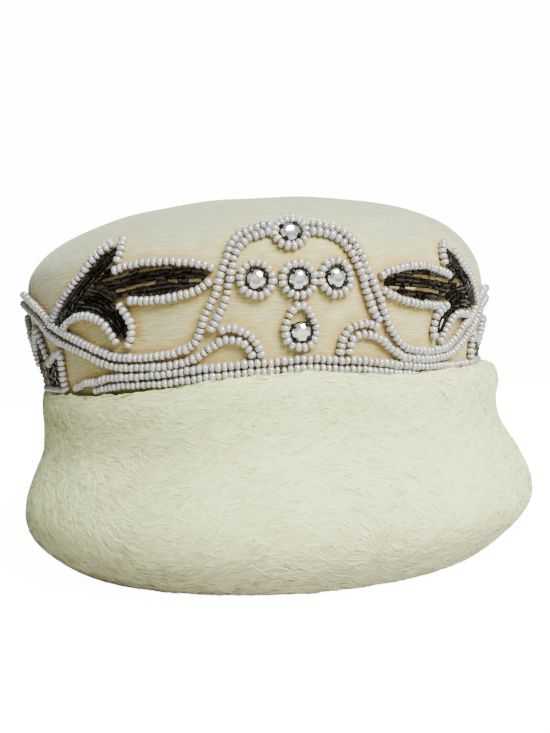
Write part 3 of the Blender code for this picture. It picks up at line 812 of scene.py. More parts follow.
def lay_texture(mesh, sides):
    """A UV map in centimetres: round the hat in U and along the section in V, whole across the seam."""
    half_turn = np.pi * MEAN_RADIUS
    corner, starts = faces_of(mesh)
    u = (read(mesh, "number", np.int32) * (2 * half_turn / sides))[corner]
    face = np.repeat(np.arange(len(starts)), np.diff(np.append(starts, len(corner))))
    widest = np.full(len(starts), -np.inf)
    np.maximum.at(widest, face, u)
    u = np.where(widest[face] - u > half_turn, u + 2 * half_turn, u)
    layer = mesh.uv_layers.new(name="felt")
    v = read(mesh, "along")[corner]
    layer.data.foreach_set("uv", np.stack([u, v], axis=1).astype(np.float32).ravel() * UV_UNIT)


def joined_copies(name, template, matrices, values, bend=None):
    """One mesh of a template's copies. values holds, by name, a number for each copy."""
    count, size = len(matrices), len(template.vertices)
    local = np.column_stack([coordinates(template), np.ones(size)])
    points = np.einsum("nij,vj->nvi", matrices[:, :3], local)
    if bend is not None:
        points += read(template, "bend")[None, :, None] * bend[:, None, :]
    corner, starts = faces_of(template)
    shift = np.arange(count)[:, None]
    mesh = bpy.data.meshes.new(name)
    mesh.vertices.add(count * size)
    mesh.loops.add(count * len(corner))
    mesh.polygons.add(count * len(starts))
    mesh.vertices.foreach_set("co", points.astype(np.float32).ravel())
    mesh.loops.foreach_set("vertex_index", (corner + shift * size).ravel())
    mesh.polygons.foreach_set("loop_start", (starts + shift * len(corner)).ravel())
    mesh.update(calc_edges=True)
    for label, numbers in values.items():
        keep(mesh, label, np.repeat(numbers, size))
    if "grime" in template.attributes:
        keep(mesh, "grime", np.tile(read(template, "grime"), count))
    shade(mesh, template.polygons[0].use_smooth)
    return mesh


def matrices_from(place, first, second, third):
    """Matrices whose columns are three directions and a place."""
    made = np.zeros((len(place), 4, 4))
    made[:, :3, 0], made[:, :3, 1], made[:, :3, 2], made[:, :3, 3] = first, second, third, place
    made[:, 3, 3] = 1.0
    return made


def seed_bead(beads):
    """A rounded donut round X with a stub of thread through its hole, thread-coloured near the hole with
    painted light glowing through the glass.
    """
    radius, half = beads.bead_radius * MM, 0.5 * beads.bead_pitch * MM
    hole = 0.32 * radius
    section = [
        (-0.60 * half, hole), (-0.90 * half, 0.60 * radius), (-0.58 * half, 0.90 * radius), (0.0, radius),
        (0.58 * half, 0.90 * radius), (0.90 * half, 0.60 * radius), (0.60 * half, hole),
    ]
    bm = spun(section, (1.0, 0.0, 0.0), 8, closed=True)
    facing_out(bm)
    # Share of the thread's colour near the hole, which carries painted light glowing through the glass
    grime = bm.verts.layers.float.new("grime")
    for corner in bm.verts:
        near = 1.0 - (math.hypot(corner.co.y, corner.co.z) - hole) / (radius - hole)
        corner[grime] = max(0.0, near) ** 1.5
    stub = bmesh.ops.create_cone(
        bm, segments=5, radius1=0.9 * hole, radius2=0.9 * hole, depth=2.1 * half, cap_ends=True,
        matrix=Matrix.Rotation(math.pi / 2, 4, "Y"))
    for corner in stub["verts"]:
        corner[grime] = 1.0
    return mesh_of(bm, "seed bead")


def bugle_bead(beads):
    """A short six-sided tube along X."""
    bm = bmesh.new()
    bmesh.ops.create_cone(
        bm, segments=6, radius1=beads.bugle_radius * MM, radius2=beads.bugle_radius * MM,
        depth=beads.bugle_length * MM, cap_ends=True, matrix=Matrix.Rotation(math.pi / 2, 4, "Y"))
    return mesh_of(bm, "bugle bead")


def hair():
    """A thin flat spindle along X, one unit long and wide, that can be bent at its middle."""
    bm = bmesh.new()
    bend = bm.verts.layers.float.new("bend")
    for place in ((-0.5, 0.0, 0.0), (0.5, 0.0, 0.0), (0.0, -0.5, 0.15), (0.0, 0.5, 0.15)):
        corner = bm.verts.new(place)
        corner[bend] = 1.0 - 2.0 * abs(place[0])
    bmesh.ops.convex_hull(bm, input=bm.verts)
    facing_out(bm)
    return mesh_of(bm, "hair", smooth_shading=False)


def walk(line, pitch, closed=False):
    """Evenly spaced places along a line of (angle, climb), as near as can be to the pitch in mm."""
    line = np.array(line, float)
    if closed:
        line = np.vstack([line, line[:1]])
    far = lengths_along(crown_points(*line.T, BEAD_STAND)) / MM
    count = max(1, round(far[-1] / pitch))
    return points_at((np.arange(count) + 0.5) * far[-1] / count, far, line)


def seeded(name):
    """Random numbers that are the same for a name each time."""
    return np.random.default_rng(sum(map(ord, name)))


def bead_matrices(places, rng, proud, closed):
    """A matrix for each bead: X along the string and Z out of the felt, each a little out of true."""
    turn, tip, side_shift, lift = 0.13, 0.09, 0.12, 0.07
    size_spread, size_range = 0.045, (0.88, 1.1)
    stretch_spread, stretch_range = 0.06, (0.85, 1.12)

    def off(spread, mean=0.0):
        return rng.normal(mean, spread, (len(places), 1))

    middle = crown_points(*places.T, proud)
    out = unit(crown_points(*places.T, proud + 1.0) - middle)
    if closed:
        ahead, behind = np.roll(middle, -1, axis=0), np.roll(middle, 1, axis=0)
    else:
        ahead = np.vstack([middle[1:], 2 * middle[-1:] - middle[-2:-1]])
        behind = np.vstack([2 * middle[:1] - middle[1:2], middle[:-1]])
    along = unit(ahead - behind)
    across = unit(np.cross(out, along))
    along = unit(along + off(turn) * across + off(tip) * out)
    across = unit(np.cross(out, along))
    middle = middle + MM * (off(side_shift) * across + off(lift) * out)
    size = np.clip(off(size_spread, 1.0), *size_range)
    stretch = size * np.clip(off(stretch_spread, 1.0), *stretch_range)
    return matrices_from(middle, along * stretch, across * size, np.cross(along, across) * size)


def beads_piece(name, strands, kit, *nodes, closed=False):
    """One piece of seed beads, at the places of its strands."""
    rng = seeded(name)
    matrices = np.vstack([bead_matrices(places, rng, kit.proud, closed) for places in strands])
    tint = np.clip(rng.normal(0.5, 0.22, len(matrices)), 0.0, 1.0)
    mesh = joined_copies(name, kit.bead, matrices, {"tint": tint})
    show(name, mesh, kit.pearl, "seed_bead", *nodes)


BeadKit = namedtuple("BeadKit", "bead pearl proud pitch")


def bead_kit(context):
    """The bead shape and finish that the bead operators share."""
    beads = context.scene.hat_beads
    pearl = bpy.data.materials.get("pearl seed beads") or pearl_material(beads)
    bead = bpy.data.meshes.get("seed bead") or seed_bead(beads)
    return BeadKit(bead, pearl, beads.bead_radius - 0.1, beads.bead_pitch)


def base_row(ends, drop, back):
    """Places of a plain row along the brim."""
    angle = np.linspace(*ends, BASE_ROW_STEPS)
    climb = rim_at(angle)[1] - drop
    if back:
        angle = np.where(angle < 0.0, -180.0 - angle, 180.0 - angle)
        angle = np.where(angle > 0.0, angle - 360.0, angle)
        order = np.argsort(angle)
        angle, climb = angle[order], climb[order]
    return np.stack([angle, climb], axis=1)


def string_lines():
    """The lines of all strings, by the name of the solid that each replaces."""
    lines = {}
    short = {
        "arch_left": ARCH_LEFT, "arch_right": ARCH_RIGHT, "hook_left": HOOK_LEFT, "hook_right": HOOK_RIGHT,
    }
    for end, back in ENDS:
        lines[f"base_row_upper_{end}"] = base_row(UPPER_BASE_ENDS, 0.0, back)
        lines[f"base_row_lower_{end}"] = base_row(LOWER_BASE_ENDS, ROW_STEP, back)
        for name, places in short.items():
            lines[f"{name}_{end}"] = smooth(mirrored(places) if back else places, STRING_STEPS)
    for name, places in (
        ("upper_left", UPPER_LEFT), ("lower_left", LOWER_LEFT), ("upper_right", UPPER_RIGHT),
        ("lower_right", LOWER_RIGHT),
    ):
        lines[f"scallop_{name}"] = smooth([*places, *reversed(mirrored(places[:-1]))], STRING_STEPS)
    return lines


def ring_line(name, back):
    """The ring round a stone, drawn out upwards to a tip if the stone is the drop."""
    stone = STONES[name]
    turn = np.linspace(0.0, 2 * np.pi, RING_STEPS, endpoint=False)
    reach = np.full_like(turn, RING_RADIUS)
    if name == "drop":
        reach = reach * (1 + TEAR_REACH * np.maximum(0.0, np.cos(turn)) ** TEAR_SHARPNESS)
    seat = to_back(stone.angle) if back else stone.angle
    per_mm = degrees_per_mm(seat, stone.climb)
    return np.stack([seat + reach * np.sin(turn) * per_mm, stone.climb + reach * np.cos(turn)], axis=1)


def palmette_corners(half, tip_climb):
    """A whole palmette from its front half, its tip over the middle and the mirrored half."""
    side = math.copysign(90.0, half[0][0])
    corners = [*half, (side, tip_climb, half[-1][2])]
    front = half[1:]
    bulges = [corner[2] for corner in reversed(front)]
    for corner, bulge in zip(reversed(front), [*bulges[1:], half[0][2]]):
        corners.append((to_back(corner[0]), corner[1], bulge))
    return corners


def bulged_outline(corners):
    """The outline through corners whose edges bulge."""
    table = np.array(corners, float)
    middle = table[:, :2].mean(axis=0)
    scale = np.array([degrees_per_mm(*middle), 1.0])
    flat = (table[:, :2] - middle) / scale
    after = np.roll(flat, -1, axis=0)
    turning = np.sign(np.sum(flat[:, 0] * after[:, 1] - after[:, 0] * flat[:, 1]))
    steps = np.linspace(0.0, 1.0, EDGE_STEPS, endpoint=False)[:, None]
    edges = []
    for start, end, bulge in zip(flat, after, table[:, 2]):
        way = (end - start) / np.linalg.norm(end - start)
        aside = turning * np.array([way[1], -way[0]])
        edges.append(start + steps * (end - start) + 4 * steps * (1 - steps) * bulge * aside)
    return np.vstack(edges) * scale + middle


class Field:
    """A leaf field unrolled flat, in mm about its middle, to lay rows of beads inside its outline."""

    def __init__(self, outline):
        outline = np.asarray(outline, float)
        self.middle = outline.mean(axis=0)
        self.per_mm = degrees_per_mm(*self.middle)
        self.edge = self.flatten(outline)

    def flatten(self, places):
        return (np.asarray(places, float) - self.middle) / np.array([self.per_mm, 1.0])

    def places(self, flat):
        return flat * np.array([self.per_mm, 1.0]) + self.middle

    def depth(self, points):
        """How far points lie from the outline, positive inside it."""
        start, end = self.edge, np.roll(self.edge, -1, axis=0)
        side = end - start
        share = np.einsum("pei,ei->pe", points[:, None] - start, side) / np.sum(side * side, axis=1)
        nearest = start + np.clip(share, 0.0, 1.0)[..., None] * side
        distance = np.linalg.norm(points[:, None] - nearest, axis=2).min(axis=1)
        level = (start[:, 1] > points[:, 1:2]) != (end[:, 1] > points[:, 1:2])
        with np.errstate(divide="ignore", invalid="ignore"):
            crossing = start[:, 0] + (points[:, 1:2] - start[:, 1]) / side[:, 1] * side[:, 0]
        inside = np.sum(level & (points[:, 0:1] < crossing), axis=1) % 2 == 1
        return np.where(inside, distance, -distance)


Bugle = namedtuple("Bugle", "spot way length pale")


def along_flow(field, flow, beads, taken, rng):
    """Bugles in rows beside a flow's line, kept where they lie inside the field and clear of those before."""
    margin = beads.bead_radius + 0.15
    whole_range, cut_shares, gap_range = (0.8, 1.12), (1.0, 0.6, 0.4), (0.15, 0.45)
    skipped_share = 0.15
    axis = smooth(field.flatten(flow.places), FLOW_STEPS)
    way = unit(np.gradient(axis, axis=0))
    aside = np.stack([-way[:, 1], way[:, 0]], axis=1)
    found = []
    for row in flow.rows:
        line = axis + row * beads.bugle_row * aside
        far = lengths_along(line)
        start = rng.uniform(-0.5, 0.5) * beads.bugle_length
        while start < far[-1]:
            whole = beads.bugle_length * rng.uniform(*whole_range)
            for share in cut_shares:
                length = share * whole
                points = points_at(np.array([0.0, 0.5, 1.0]) * length + start, far, line)
                if field.depth(points).min() > margin and not any(crosses(points, other) for other in taken):
                    course = (points[2] - points[0]) / np.linalg.norm(points[2] - points[0])
                    found.append(Bugle(points[1], course, length, row in flow.pale))
                    start += length + rng.uniform(*gap_range)
                    break
            else:
                start += skipped_share * whole
    taken.extend(found)


def crosses(points, other):
    """True if a bugle's ends or middle lie on another bugle."""
    end_room, side_room = 0.2, 1.25
    apart = points - other.spot
    along = np.abs(apart @ other.way)
    aside = np.abs(apart[:, 0] * other.way[1] - apart[:, 1] * other.way[0])
    return bool(np.any((along < 0.5 * other.length + end_room) & (aside < side_room)))


def bugles_piece(leaf, beads, finish):
    """One piece of bugle beads, laid along a leaf's flows, each a little out of true."""
    turn_spread, tip_spread, stand, lift_spread = 0.06, 0.13, 0.25, 0.18
    pale_share, dark_tints, pale_tints = 0.55, (0.0, 0.5), (0.72, 1.0)
    field = Field(leaf.outline)
    laid = []
    rng = seeded(leaf.name)
    for flow in leaf.flows:
        along_flow(field, flow, beads, laid, rng)
    name = f"bugles_{leaf.name}"
    rng = seeded(name)
    count = len(laid)
    spot, way, length, pale = [np.array(column) for column in zip(*laid)]
    turn = rng.normal(0.0, turn_spread, count)
    way = np.stack([
        way[:, 0] * np.cos(turn) - way[:, 1] * np.sin(turn),
        way[:, 0] * np.sin(turn) + way[:, 1] * np.cos(turn),
    ], axis=1)
    before, middle, after = [field.places(spot + step * way) for step in (-0.8, 0.0, 0.8)]
    lift = beads.bugle_radius + stand + rng.normal(0.0, lift_spread, count)
    place = crown_points(*middle.T, lift)
    out = unit(crown_points(*middle.T, lift + 1.0) - place)
    along = unit(crown_points(*after.T, lift) - crown_points(*before.T, lift))
    along = unit(along + rng.normal(0.0, tip_spread, (count, 1)) * out)
    roll = rng.uniform(0.0, np.pi / 3, (count, 1))
    across = unit(np.cross(out, along))
    across = np.cos(roll) * across + np.sin(roll) * np.cross(along, across)
    stretch = length[:, None] / beads.bugle_length
    matrices = matrices_from(place, along * stretch, across, np.cross(along, across))
    tint = rng.uniform(*dark_tints, count)
    tint = np.where(pale & (rng.random(count) < pale_share), rng.uniform(*pale_tints, count), tint)
    bugle = bpy.data.meshes.get("bugle bead") or bugle_bead(beads)
    mesh = joined_copies(name, bugle, matrices, {"tint": tint})
    mesh.set_sharp_from_angle(angle=math.radians(30))
    show(name, mesh, finish, "bugle_bead", leaf.name)


def palmette_flows(corners):
    """A line for each leaf of a palmette, from root to tip, and one across to fill what they leave."""
    root_share, knee_share, root_climb, fan_reach = 0.62, 0.87, -3.0, 34.0
    side = math.copysign(90.0, corners[0][0])
    outer, inner = corners[2], corners[4]
    tips = [(side, corners[7][1])]
    for tip in (inner, outer):
        tips += [tip[:2], (to_back(tip[0]), tip[1])]
    flows = []
    for angle, climb in tips:
        aside = angle - side
        flows.append(Flow(range(-3, 4), (-1,), [
            (side + root_share * aside, root_climb), (side + knee_share * aside, 0.45 * climb - 1.0),
            (angle, climb)]))
    flows.append(Flow(range(-2, 9), (), [(side - fan_reach, 2.0), (side, 3.0), (side + fan_reach, 2.0)]))
    return flows


# A leaf field: its solid's name, the white rows round it, its outline and the flows of its bugles
Leaf = namedtuple("Leaf", "name rows outline flows")


def leaf_shapes():
    leaves = []
    for side, rows, flows in (("left", SPRAY_LEFT, FLOWS_LEFT), ("right", SPRAY_RIGHT, FLOWS_RIGHT)):
        back_rows = [mirrored(row) for row in rows]
        back_flows = [flow._replace(places=mirrored(flow.places)) for flow in flows]
        for end, rows, flows in (("front", rows, flows), ("back", back_rows, back_flows)):
            outline = np.vstack([smooth(row, OUTLINE_STEPS) for row in rows])
            leaves.append(Leaf(f"leaf_spray_{side}_{end}", rows, outline, flows))
    for side, half, tip_climb in (
        ("left", PALMETTE_LEFT, LEFT_TIP_CLIMB), ("right", PALMETTE_RIGHT, RIGHT_TIP_CLIMB),
    ):
        corners = palmette_corners(half, tip_climb)
        outline = bulged_outline(corners)
        rows = [np.vstack([outline, outline[:1]])]
        leaves.append(Leaf(f"palmette_{side}", rows, outline, palmette_flows(corners)))
    return leaves


def crown_frame(angle, climb, proud):
    """The place and turn of something that sits on the crown: X round it, Y up the felt, Z outwards."""
    place = crown_points(angle, climb, proud)
    round_it = unit(crown_points(angle + 0.5, climb) - crown_points(angle - 0.5, climb))
    outwards = unit(np.cross(round_it, crown_points(angle, climb + 0.5) - crown_points(angle, climb - 0.5)))
    turn = Matrix((round_it, np.cross(outwards, round_it), outwards)).transposed()
    return Matrix.Translation(Vector(place)) @ turn.to_4x4()


def crystal_bmesh():
    """A round cut stone: girdle, two rows of facets and a shallow star in the table."""
    rows = [(2.9, 1.0, 0.0), (3.5, 1.9, 0.0), (3.38, 2.35, 22.5), (2.75, 3.0, 0.0), (1.8, 3.45, 22.5)]
    star_height = 3.2
    bm, edges = stacked(rows, 8)
    close_with_pole(bm, edges, (0.0, 0.0, star_height * MM))
    bmesh.ops.triangulate(bm, faces=[face for face in bm.faces if len(face.verts) == 4])
    facing_out(bm)
    return bm


def setting_bmesh(prong_turn):
    """A dark cup with a rim round the stone, and four prongs bent over its edge."""
    section = [(2.9, 0.1), (3.6, 0.5), (3.8, 1.7), (3.72, 2.05), (3.5, 2.05), (3.2, 1.2)]
    reach, height, radius, bend = 3.6, 2.45, 0.98, -38.0
    bm, edges = stacked([(*row, 0.0) for row in section], 24)
    bmesh.ops.contextual_create(bm, geom=edges)
    facing_out(bm)
    for quarter in range(4):
        turn = Matrix.Rotation(math.radians(45.0 + 90.0 * quarter + prong_turn), 4, "Z")
        lean = Matrix.Rotation(math.radians(bend), 4, "Y")
        place = turn @ Matrix.Translation((reach * MM, 0.0, height * MM)) @ lean
        stretch = Matrix.Diagonal((1.0, 0.95, 1.25, 1.0))
        bmesh.ops.create_icosphere(bm, subdivisions=2, radius=radius * MM, matrix=place @ stretch)
    return bm


class HAT_OT_stage(bpy.types.Operator):
    """Sets up the camera, the soft lights and the pale floor"""
    bl_idname = "hat.stage"
    bl_label = "Studio"

    def execute(self, context):
        studio = context.scene.hat_studio
        self.camera(context, studio)
        self.lights(context)
        self.floor(context, studio)
        return {"FINISHED"}

    def camera(self, context, studio):
        turn, roll = math.radians(studio.heading), math.radians(studio.roll)
        look = Vector((math.sin(turn), math.cos(turn), 0.0))
        right, up = Vector((look.y, -look.x, 0.0)), Vector((0.0, 0.0, 1.0))
        across = math.cos(roll) * right - math.sin(roll) * up
        upwards = math.sin(roll) * right + math.cos(roll) * up
        data = bpy.data.cameras.new("camera")
        data.sensor_width = 36.0
        data.lens = studio.focal_pixels * data.sensor_width / PICTURE_HEIGHT
        data.clip_start = 0.01
        camera = bpy.data.objects.new("camera", data)
        basis = Matrix((across, upwards, -look)).transposed().to_4x4()
        camera.matrix_world = Matrix.Translation(Vector(studio.eye) * MM) @ basis
        context.scene.collection.objects.link(camera)
        context.scene.camera = camera

    def lights(self, context):
        """Square soft boxes, each with its place, size, power in watts and tint, and a soft sky."""
        warm, white = (1.0, 0.99, 0.85), (1.0, 1.0, 1.0)
        for name, place, size, power, tint in (
            ("key softbox", (0.58, -1.42, 1.12), 1.0, 146.0, warm),
            ("fill softbox", (-1.4, -0.9, 0.4), 1.2, 1.5, white),
            ("back softbox", (0.2, 1.6, 0.5), 1.2, 75.0, white),
        ):
            data = bpy.data.lights.new(name, "AREA")
            data.size = size
            data.energy = power
            data.color = tint
            light = bpy.data.objects.new(name, data)
            light.location = place
            aim = Vector((0.0, 0.0, 0.08)) - Vector(place)
            light.rotation_euler = aim.to_track_quat("-Z", "Y").to_euler()
            context.scene.collection.objects.link(light)
        world = bpy.data.worlds.new("soft daylight")
        world.use_nodes = True
        sky = world.node_tree
        feed(sky, sky.nodes["Background"], {"Color": (0.80, 0.90, 1.0, 1.0), "Strength": 0.17})
        context.scene.world = world

    def floor(self, context, studio):
        """A floor that curves up into a backdrop all round. It lights the hat less than it shows."""
        profile = [(0.0, 0.0), (1.6, 0.0), (1.9, 0.03), (2.12, 0.14), (2.27, 0.36), (2.3, 0.7), (2.3, 2.6)]
        mesh = mesh_of(spun(profile, (0.0, 0.0, 1.0), 64), "studio floor")
        floor = bpy.data.objects.new("studio_floor", mesh)
        made, tree, shader = new_material("pale floor")
        place = on_piece(tree)
        shade_share = 0.97
        shaded = [shade_share * channel for channel in studio.floor_colour]
        pale = layered(tree, studio.floor_colour, (noise(tree, place, 3.0)[0], shaded))
        seen = tree.nodes.new("ShaderNodeLightPath").outputs["Is Camera Ray"]
        reach = node(tree, "ShaderNodeVectorMath", {0: place}, operation="LENGTH").outputs["Value"]
        bounce = layered(tree, (0.5, 0.5, 0.5), (ranged(tree, reach, 0.25, 0.7), (0.12, 0.12, 0.12)))
        feed(tree, shader, {
            "Base Color": layered(tree, bounce, (seen, pale)), "Roughness": 0.9,
            "Emission Color": (1.0, 1.0, 1.0, 1.0),
            "Emission Strength": maths(tree, "MULTIPLY", seen, studio.floor_glow)})
        mesh.materials.append(made)
        context.scene.collection.objects.link(floor)


class HAT_OT_crown(bpy.types.Operator):
    """Builds the crown's felt, with stains beside the beads"""
    bl_idname = "hat.crown"
    bl_label = "Crown felt"

    def execute(self, context):
        sides = 400
        band_top, band_foot, band_step = 60.5, -4.0, -1.2
        angle = np.linspace(0.0, 360.0, sides, endpoint=False)
        foot, top = CROWN_CLIMBS[0], CROWN_CLIMBS[-1]
        dome = np.linspace(top - 2.5, band_top + 1.5, 20)
        beaded = np.arange(band_top, band_foot, band_step)
        hidden = np.linspace(band_foot - 4.0, foot, 8)
        outer = np.concatenate([dome, beaded, hidden])
        inner = np.linspace(foot, top - 4.0, 26)
        rings = [crown_points(angle, climb, self.swell(angle, climb, top)) for climb in outer]
        rings += [crown_points(angle, climb, -FELT) for climb in inner]
        bm, first, last = turned(rings, np.concatenate([outer, 2 * foot - inner]))
        shift = CROWN[-1][2] - ORIGIN_SHIFT
        close_with_pole(bm, first, MM * Vector((shift, 0.0, CROWN_TOP)))
        close_with_pole(bm, last, MM * Vector((shift, 0.0, CROWN_TOP - FELT)))
        facing_out(bm)
        mesh = mesh_of(bm, "felt_crown")
        lay_texture(mesh, sides)
        self.age(mesh, sides)
        show("felt_crown", mesh, crown_felt_material(context.scene.hat_felt), "felt", "crown")
        return {"FINISHED"}

    def swell(self, angle, climb, top):
        """How far the skin's waves stand out, easing off towards the brim and the top."""
        ease = float(np.clip((climb - 2.0) / 10.0, 0.0, 1.0) * np.clip((top - climb) / 30.0, 0.0, 1.0))
        return CROWN_SWELL * ease * ripples(angle, climb, CROWN_WAVES)

    def age(self, mesh, sides):
        """Stain close beside the beads, warmth over the whole embroidered band, and dark thread with painted
        shade under the leaves.
        """
        stain_edge, stain_fade, warmth_fade = 2.0, 2.1, 9.0
        stain_top, warmth_top, top_fade = 60.0, 66.0, 26.0
        strongest, least = 0.85, 0.15
        lowest, highest, far_off = -8.0, 75.0, 1.0
        lines = list(string_lines().values())
        lines += [ring_line(name, back) for back in (False, True) for name in STONES]
        lines += [leaf.outline for leaf in leaf_shapes()]
        points = np.vstack([crown_points(*line.T) for line in lines])
        tree = KDTree(len(points))
        for index, point in enumerate(points):
            tree.insert(point, index)
        tree.balance()
        where = coordinates(mesh)
        climb = read(mesh, "along")
        near = np.full(len(where), far_off)
        for index in np.flatnonzero((climb > lowest) & (climb < highest)):
            near[index] = tree.find(where[index])[2]
        near = near / MM
        stain = np.exp(-(np.maximum(near - stain_edge, 0.0) / stain_fade) ** 2)
        warmth = np.exp(-(near / warmth_fade) ** 2)
        keep(mesh, "stain", strongest * stain * np.clip((stain_top - climb) / top_fade, least, 1.0))
        keep(mesh, "warmth", warmth * np.clip((warmth_top - climb) / top_fade, least, 1.0))
        # Painted shade under the bugle fields, with the dark thread there
        keep(mesh, "soot", self.soot(mesh, climb, sides))

    def soot(self, mesh, climb, sides):
        """How far each corner lies under a leaf field, from 0 to 1: where the dark thread and painted shade
        under the bugles go.
        """
        angle = read(mesh, "number", np.int32) * 360.0 / sides
        dark = np.zeros(len(angle))
        for leaf in leaf_shapes():
            field = Field(leaf.outline)
            place = np.stack([wrapped(angle - field.middle[0]) + field.middle[0], climb], axis=1)
            low, high = leaf.outline.min(axis=0), leaf.outline.max(axis=0)
            inside = np.flatnonzero(np.all((place > low) & (place < high), axis=1))
            depth = field.depth(field.flatten(place[inside]))
            dark[inside] = np.clip((depth - 0.4) / 1.2, 0.0, 1.0)
        return dark


class HAT_OT_brim(bpy.types.Operator):
    """Builds the brim's puffy felt shell"""
    bl_idname = "hat.brim"
    bl_label = "Brim felt"

    def execute(self, context):
        sides = 320
        angle = np.linspace(0.0, 360.0, sides, endpoint=False)
        foot = BRIM_LENGTHS[-1]
        outer = np.linspace(0.0, foot, 56)
        inner = np.linspace(foot - 1.0, 9.0, 12)
        rings = [brim_points(angle, far) for far in outer]
        rings.append(brim_section_points(angle, REST_INNER))
        rings.append(brim_section_points(angle, REST_INNER, FELT, 0.0, -1.0))
        rings += [brim_points(angle, far, -FELT) for far in inner]
        rings.append(brim_section_points(angle, RIM_UNDER))
        along = [*outer, foot + 8.0, foot + 10.0, *(2 * foot + 14.0 - inner), 2 * foot + 16.0]
        bm, first, last = turned(rings, along)
        bmesh.ops.bridge_loops(bm, edges=[*first, *last])
        facing_out(bm)
        mesh = mesh_of(bm, "felt_brim")
        lay_texture(mesh, sides)
        show("felt_brim", mesh, brim_felt_material(context.scene.hat_felt), "long_felt", "brim")
        return {"FINISHED"}


class HAT_OT_nap(bpy.types.Operator):
    """Lays the brim's long hairs"""
    bl_idname = "hat.nap"
    bl_label = "Nap"

    def execute(self, context):
        rim_room, foot_room, tones = 1.5, 6.0, (1.8, 1.6)
        felt = context.scene.hat_felt
        finish = nap_material(felt)
        template = hair()
        quarters = {"front": -45.0, "right": 45.0, "back": 135.0, "left": 225.0}
        for seed, (name, start) in enumerate(quarters.items(), 100):
            rng = np.random.default_rng(seed)
            angle = start + rng.uniform(0.0, 90.0, felt.nap_hairs)
            along = rng.uniform(rim_room, BRIM_LENGTHS[-1] - foot_room, felt.nap_hairs)
            matrices, bend = self.laid(angle, along, rng, felt)
            tone = rng.beta(*tones, felt.nap_hairs)
            mesh = joined_copies(f"nap_{name}", template, matrices, {"tone": tone}, bend)
            show(f"nap_{name}", mesh, finish, "long_felt")
        return {"FINISHED"}

    def laid(self, angle, along, rng, felt):
        """Matrices for hairs that lie along the nap, and how far each bows at its middle."""
        lean, broad_lean, fine_lean, own_lean = 0.12, 0.5, 0.28, 0.4
        length_range, width_range, lift_range = (0.55, 1.35), (0.6, 1.4), (0.05, 0.4)
        rise_mean, rise_spread, curl_spread, arch = 0.01, 0.035, 0.08, 0.02
        calm_rim, calmest = 9.0, 0.12
        each = (len(angle), 1)
        place = brim_points(angle, along)
        around = unit(brim_points(angle + 0.4, along) - brim_points(angle - 0.4, along))
        down = unit(brim_points(angle, along + 0.6) - brim_points(angle, along - 0.6))
        out = unit(np.cross(down, around))
        facing = np.sum(out * (brim_points(angle, along, 1.0) - place), axis=1, keepdims=True)
        out = np.where(facing < 0, -out, out)
        lean = lean + broad_lean * ripples(angle, along, BROAD_LAY)
        lean = lean + fine_lean * ripples(angle, along, FINE_LAY)
        lean = (lean + rng.normal(0.0, own_lean, len(angle))) * np.clip(along / calm_rim, calmest, 1.0)
        lean = lean[:, None]
        rise = np.abs(rng.normal(rise_mean, rise_spread, each))
        way = unit(np.cos(lean) * around + np.sin(lean) * down + rise * out)
        length = MM * felt.nap_length * rng.uniform(*length_range, each)
        width = MM * felt.nap_width * rng.uniform(*width_range, each)
        across = unit(np.cross(out, way))
        normal = np.cross(way, across)
        middle = place + MM * rng.uniform(*lift_range, each) * out
        curl = rng.normal(0.0, curl_spread, each) * length
        bend = curl * across + (arch * length) * out
        lowest = middle[:, 2:] - 0.5 * np.abs(way[:, 2:]) * length - width
        middle[:, 2:] += np.maximum(0.0, -lowest)
        return matrices_from(middle, way * length, across * width, normal * width), bend


class HAT_OT_strings(bpy.types.Operator):
    """Strings the seed beads of the rows, scallops, arches and hooks"""
    bl_idname = "hat.strings"
    bl_label = "Bead strings"

    def execute(self, context):
        kit = bead_kit(context)
        for name, line in string_lines().items():
            beads_piece(f"beads_{name}", [walk(line, kit.pitch)], kit, name)
        return {"FINISHED"}


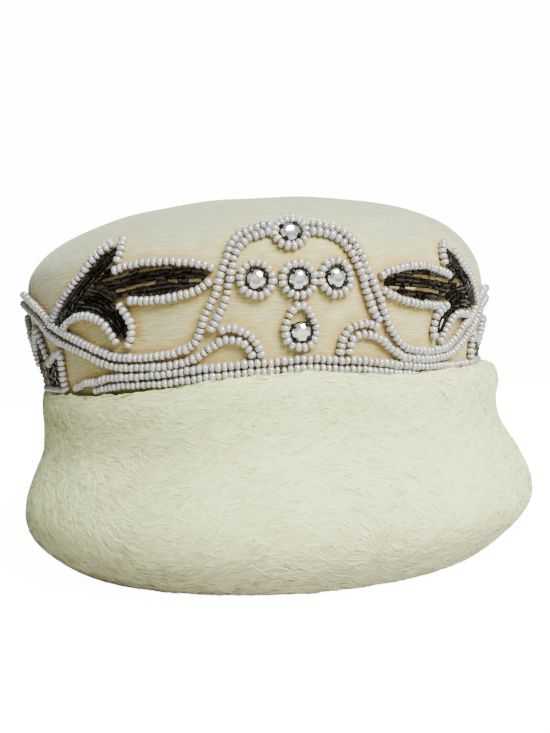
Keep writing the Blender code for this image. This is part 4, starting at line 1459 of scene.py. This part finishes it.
class HAT_OT_stones(bpy.types.Operator):
    """Sets the cut stones, each in a ring of seed beads"""
    bl_idname = "hat.stones"
    bl_label = "Stones and rings"

    def execute(self, context):
        kit = bead_kit(context)
        crystal, metal = crystal_material(context.scene.hat_beads), setting_material()
        for end, back in ENDS:
            for name, stone in STONES.items():
                spots = walk(ring_line(name, back), RING_PITCH, closed=True)
                beads_piece(f"beads_ring_{name}_{end}", [spots], kit, f"ring_{name}_{end}", closed=True)
                seat = crown_frame(to_back(stone.angle) if back else stone.angle, stone.climb, 0.0)
                seat = seat @ Matrix.Rotation(math.radians(stone.lean), 4, "X")
                for kind, bm, finish, slot in (
                    ("crystal", crystal_bmesh(), crystal, "crystal"),
                    ("setting", setting_bmesh(stone.prong_turn), metal, "bugle_bead"),
                ):
                    bmesh.ops.transform(bm, matrix=seat, verts=bm.verts)
                    mesh = mesh_of(bm, f"{kind}_{name}_{end}", smooth_shading=kind == "setting")
                    mesh.set_sharp_from_angle(angle=math.radians(15))
                    show(mesh.name, mesh, finish, slot, f"stone_{name}_{end}")
        return {"FINISHED"}


class HAT_OT_leaves(bpy.types.Operator):
    """Fills the leaves with bugle beads and edges them with seed beads"""
    bl_idname = "hat.leaves"
    bl_label = "Leaves"

    def execute(self, context):
        beads = context.scene.hat_beads
        kit = bead_kit(context)
        finish = bugle_material(beads)
        for leaf in leaf_shapes():
            strands = [walk(smooth(row, EDGING_STEPS), kit.pitch) for row in leaf.rows]
            beads_piece(f"edging_{leaf.name}", strands, kit)
            bugles_piece(leaf, beads, finish)
        return {"FINISHED"}


class HAT_PT_panel(bpy.types.Panel):
    """The hat's steps and settings"""
    bl_idname = "HAT_PT_panel"
    bl_label = "Wool Hat"
    bl_space_type = "VIEW_3D"
    bl_region_type = "UI"
    bl_category = "Wool Hat"

    def draw(self, context):
        for settings in ("hat_felt", "hat_beads", "hat_studio"):
            box = self.layout.box()
            group = getattr(context.scene, settings)
            for name in group.__annotations__:
                box.prop(group, name)
        for step in STEPS:
            self.layout.operator(step.bl_idname)


STEPS = (HAT_OT_stage, HAT_OT_crown, HAT_OT_brim, HAT_OT_nap, HAT_OT_strings, HAT_OT_stones, HAT_OT_leaves)
CLASSES = (HatFelt, HatBeads, HatStudio, *STEPS, HAT_PT_panel)


def register():
    for each in CLASSES:
        bpy.utils.register_class(each)
    bpy.types.Scene.hat_felt = PointerProperty(type=HatFelt)
    bpy.types.Scene.hat_beads = PointerProperty(type=HatBeads)
    bpy.types.Scene.hat_studio = PointerProperty(type=HatStudio)


def unregister():
    for name in ("hat_felt", "hat_beads", "hat_studio"):
        delattr(bpy.types.Scene, name)
    for each in reversed(CLASSES):
        bpy.utils.unregister_class(each)


def main():
    register()
    bpy.ops.hat.stage()
    bpy.ops.hat.crown()
    bpy.ops.hat.brim()
    bpy.ops.hat.nap()
    bpy.ops.hat.strings()
    bpy.ops.hat.stones()
    bpy.ops.hat.leaves()


if __name__ == "__main__":
    main()
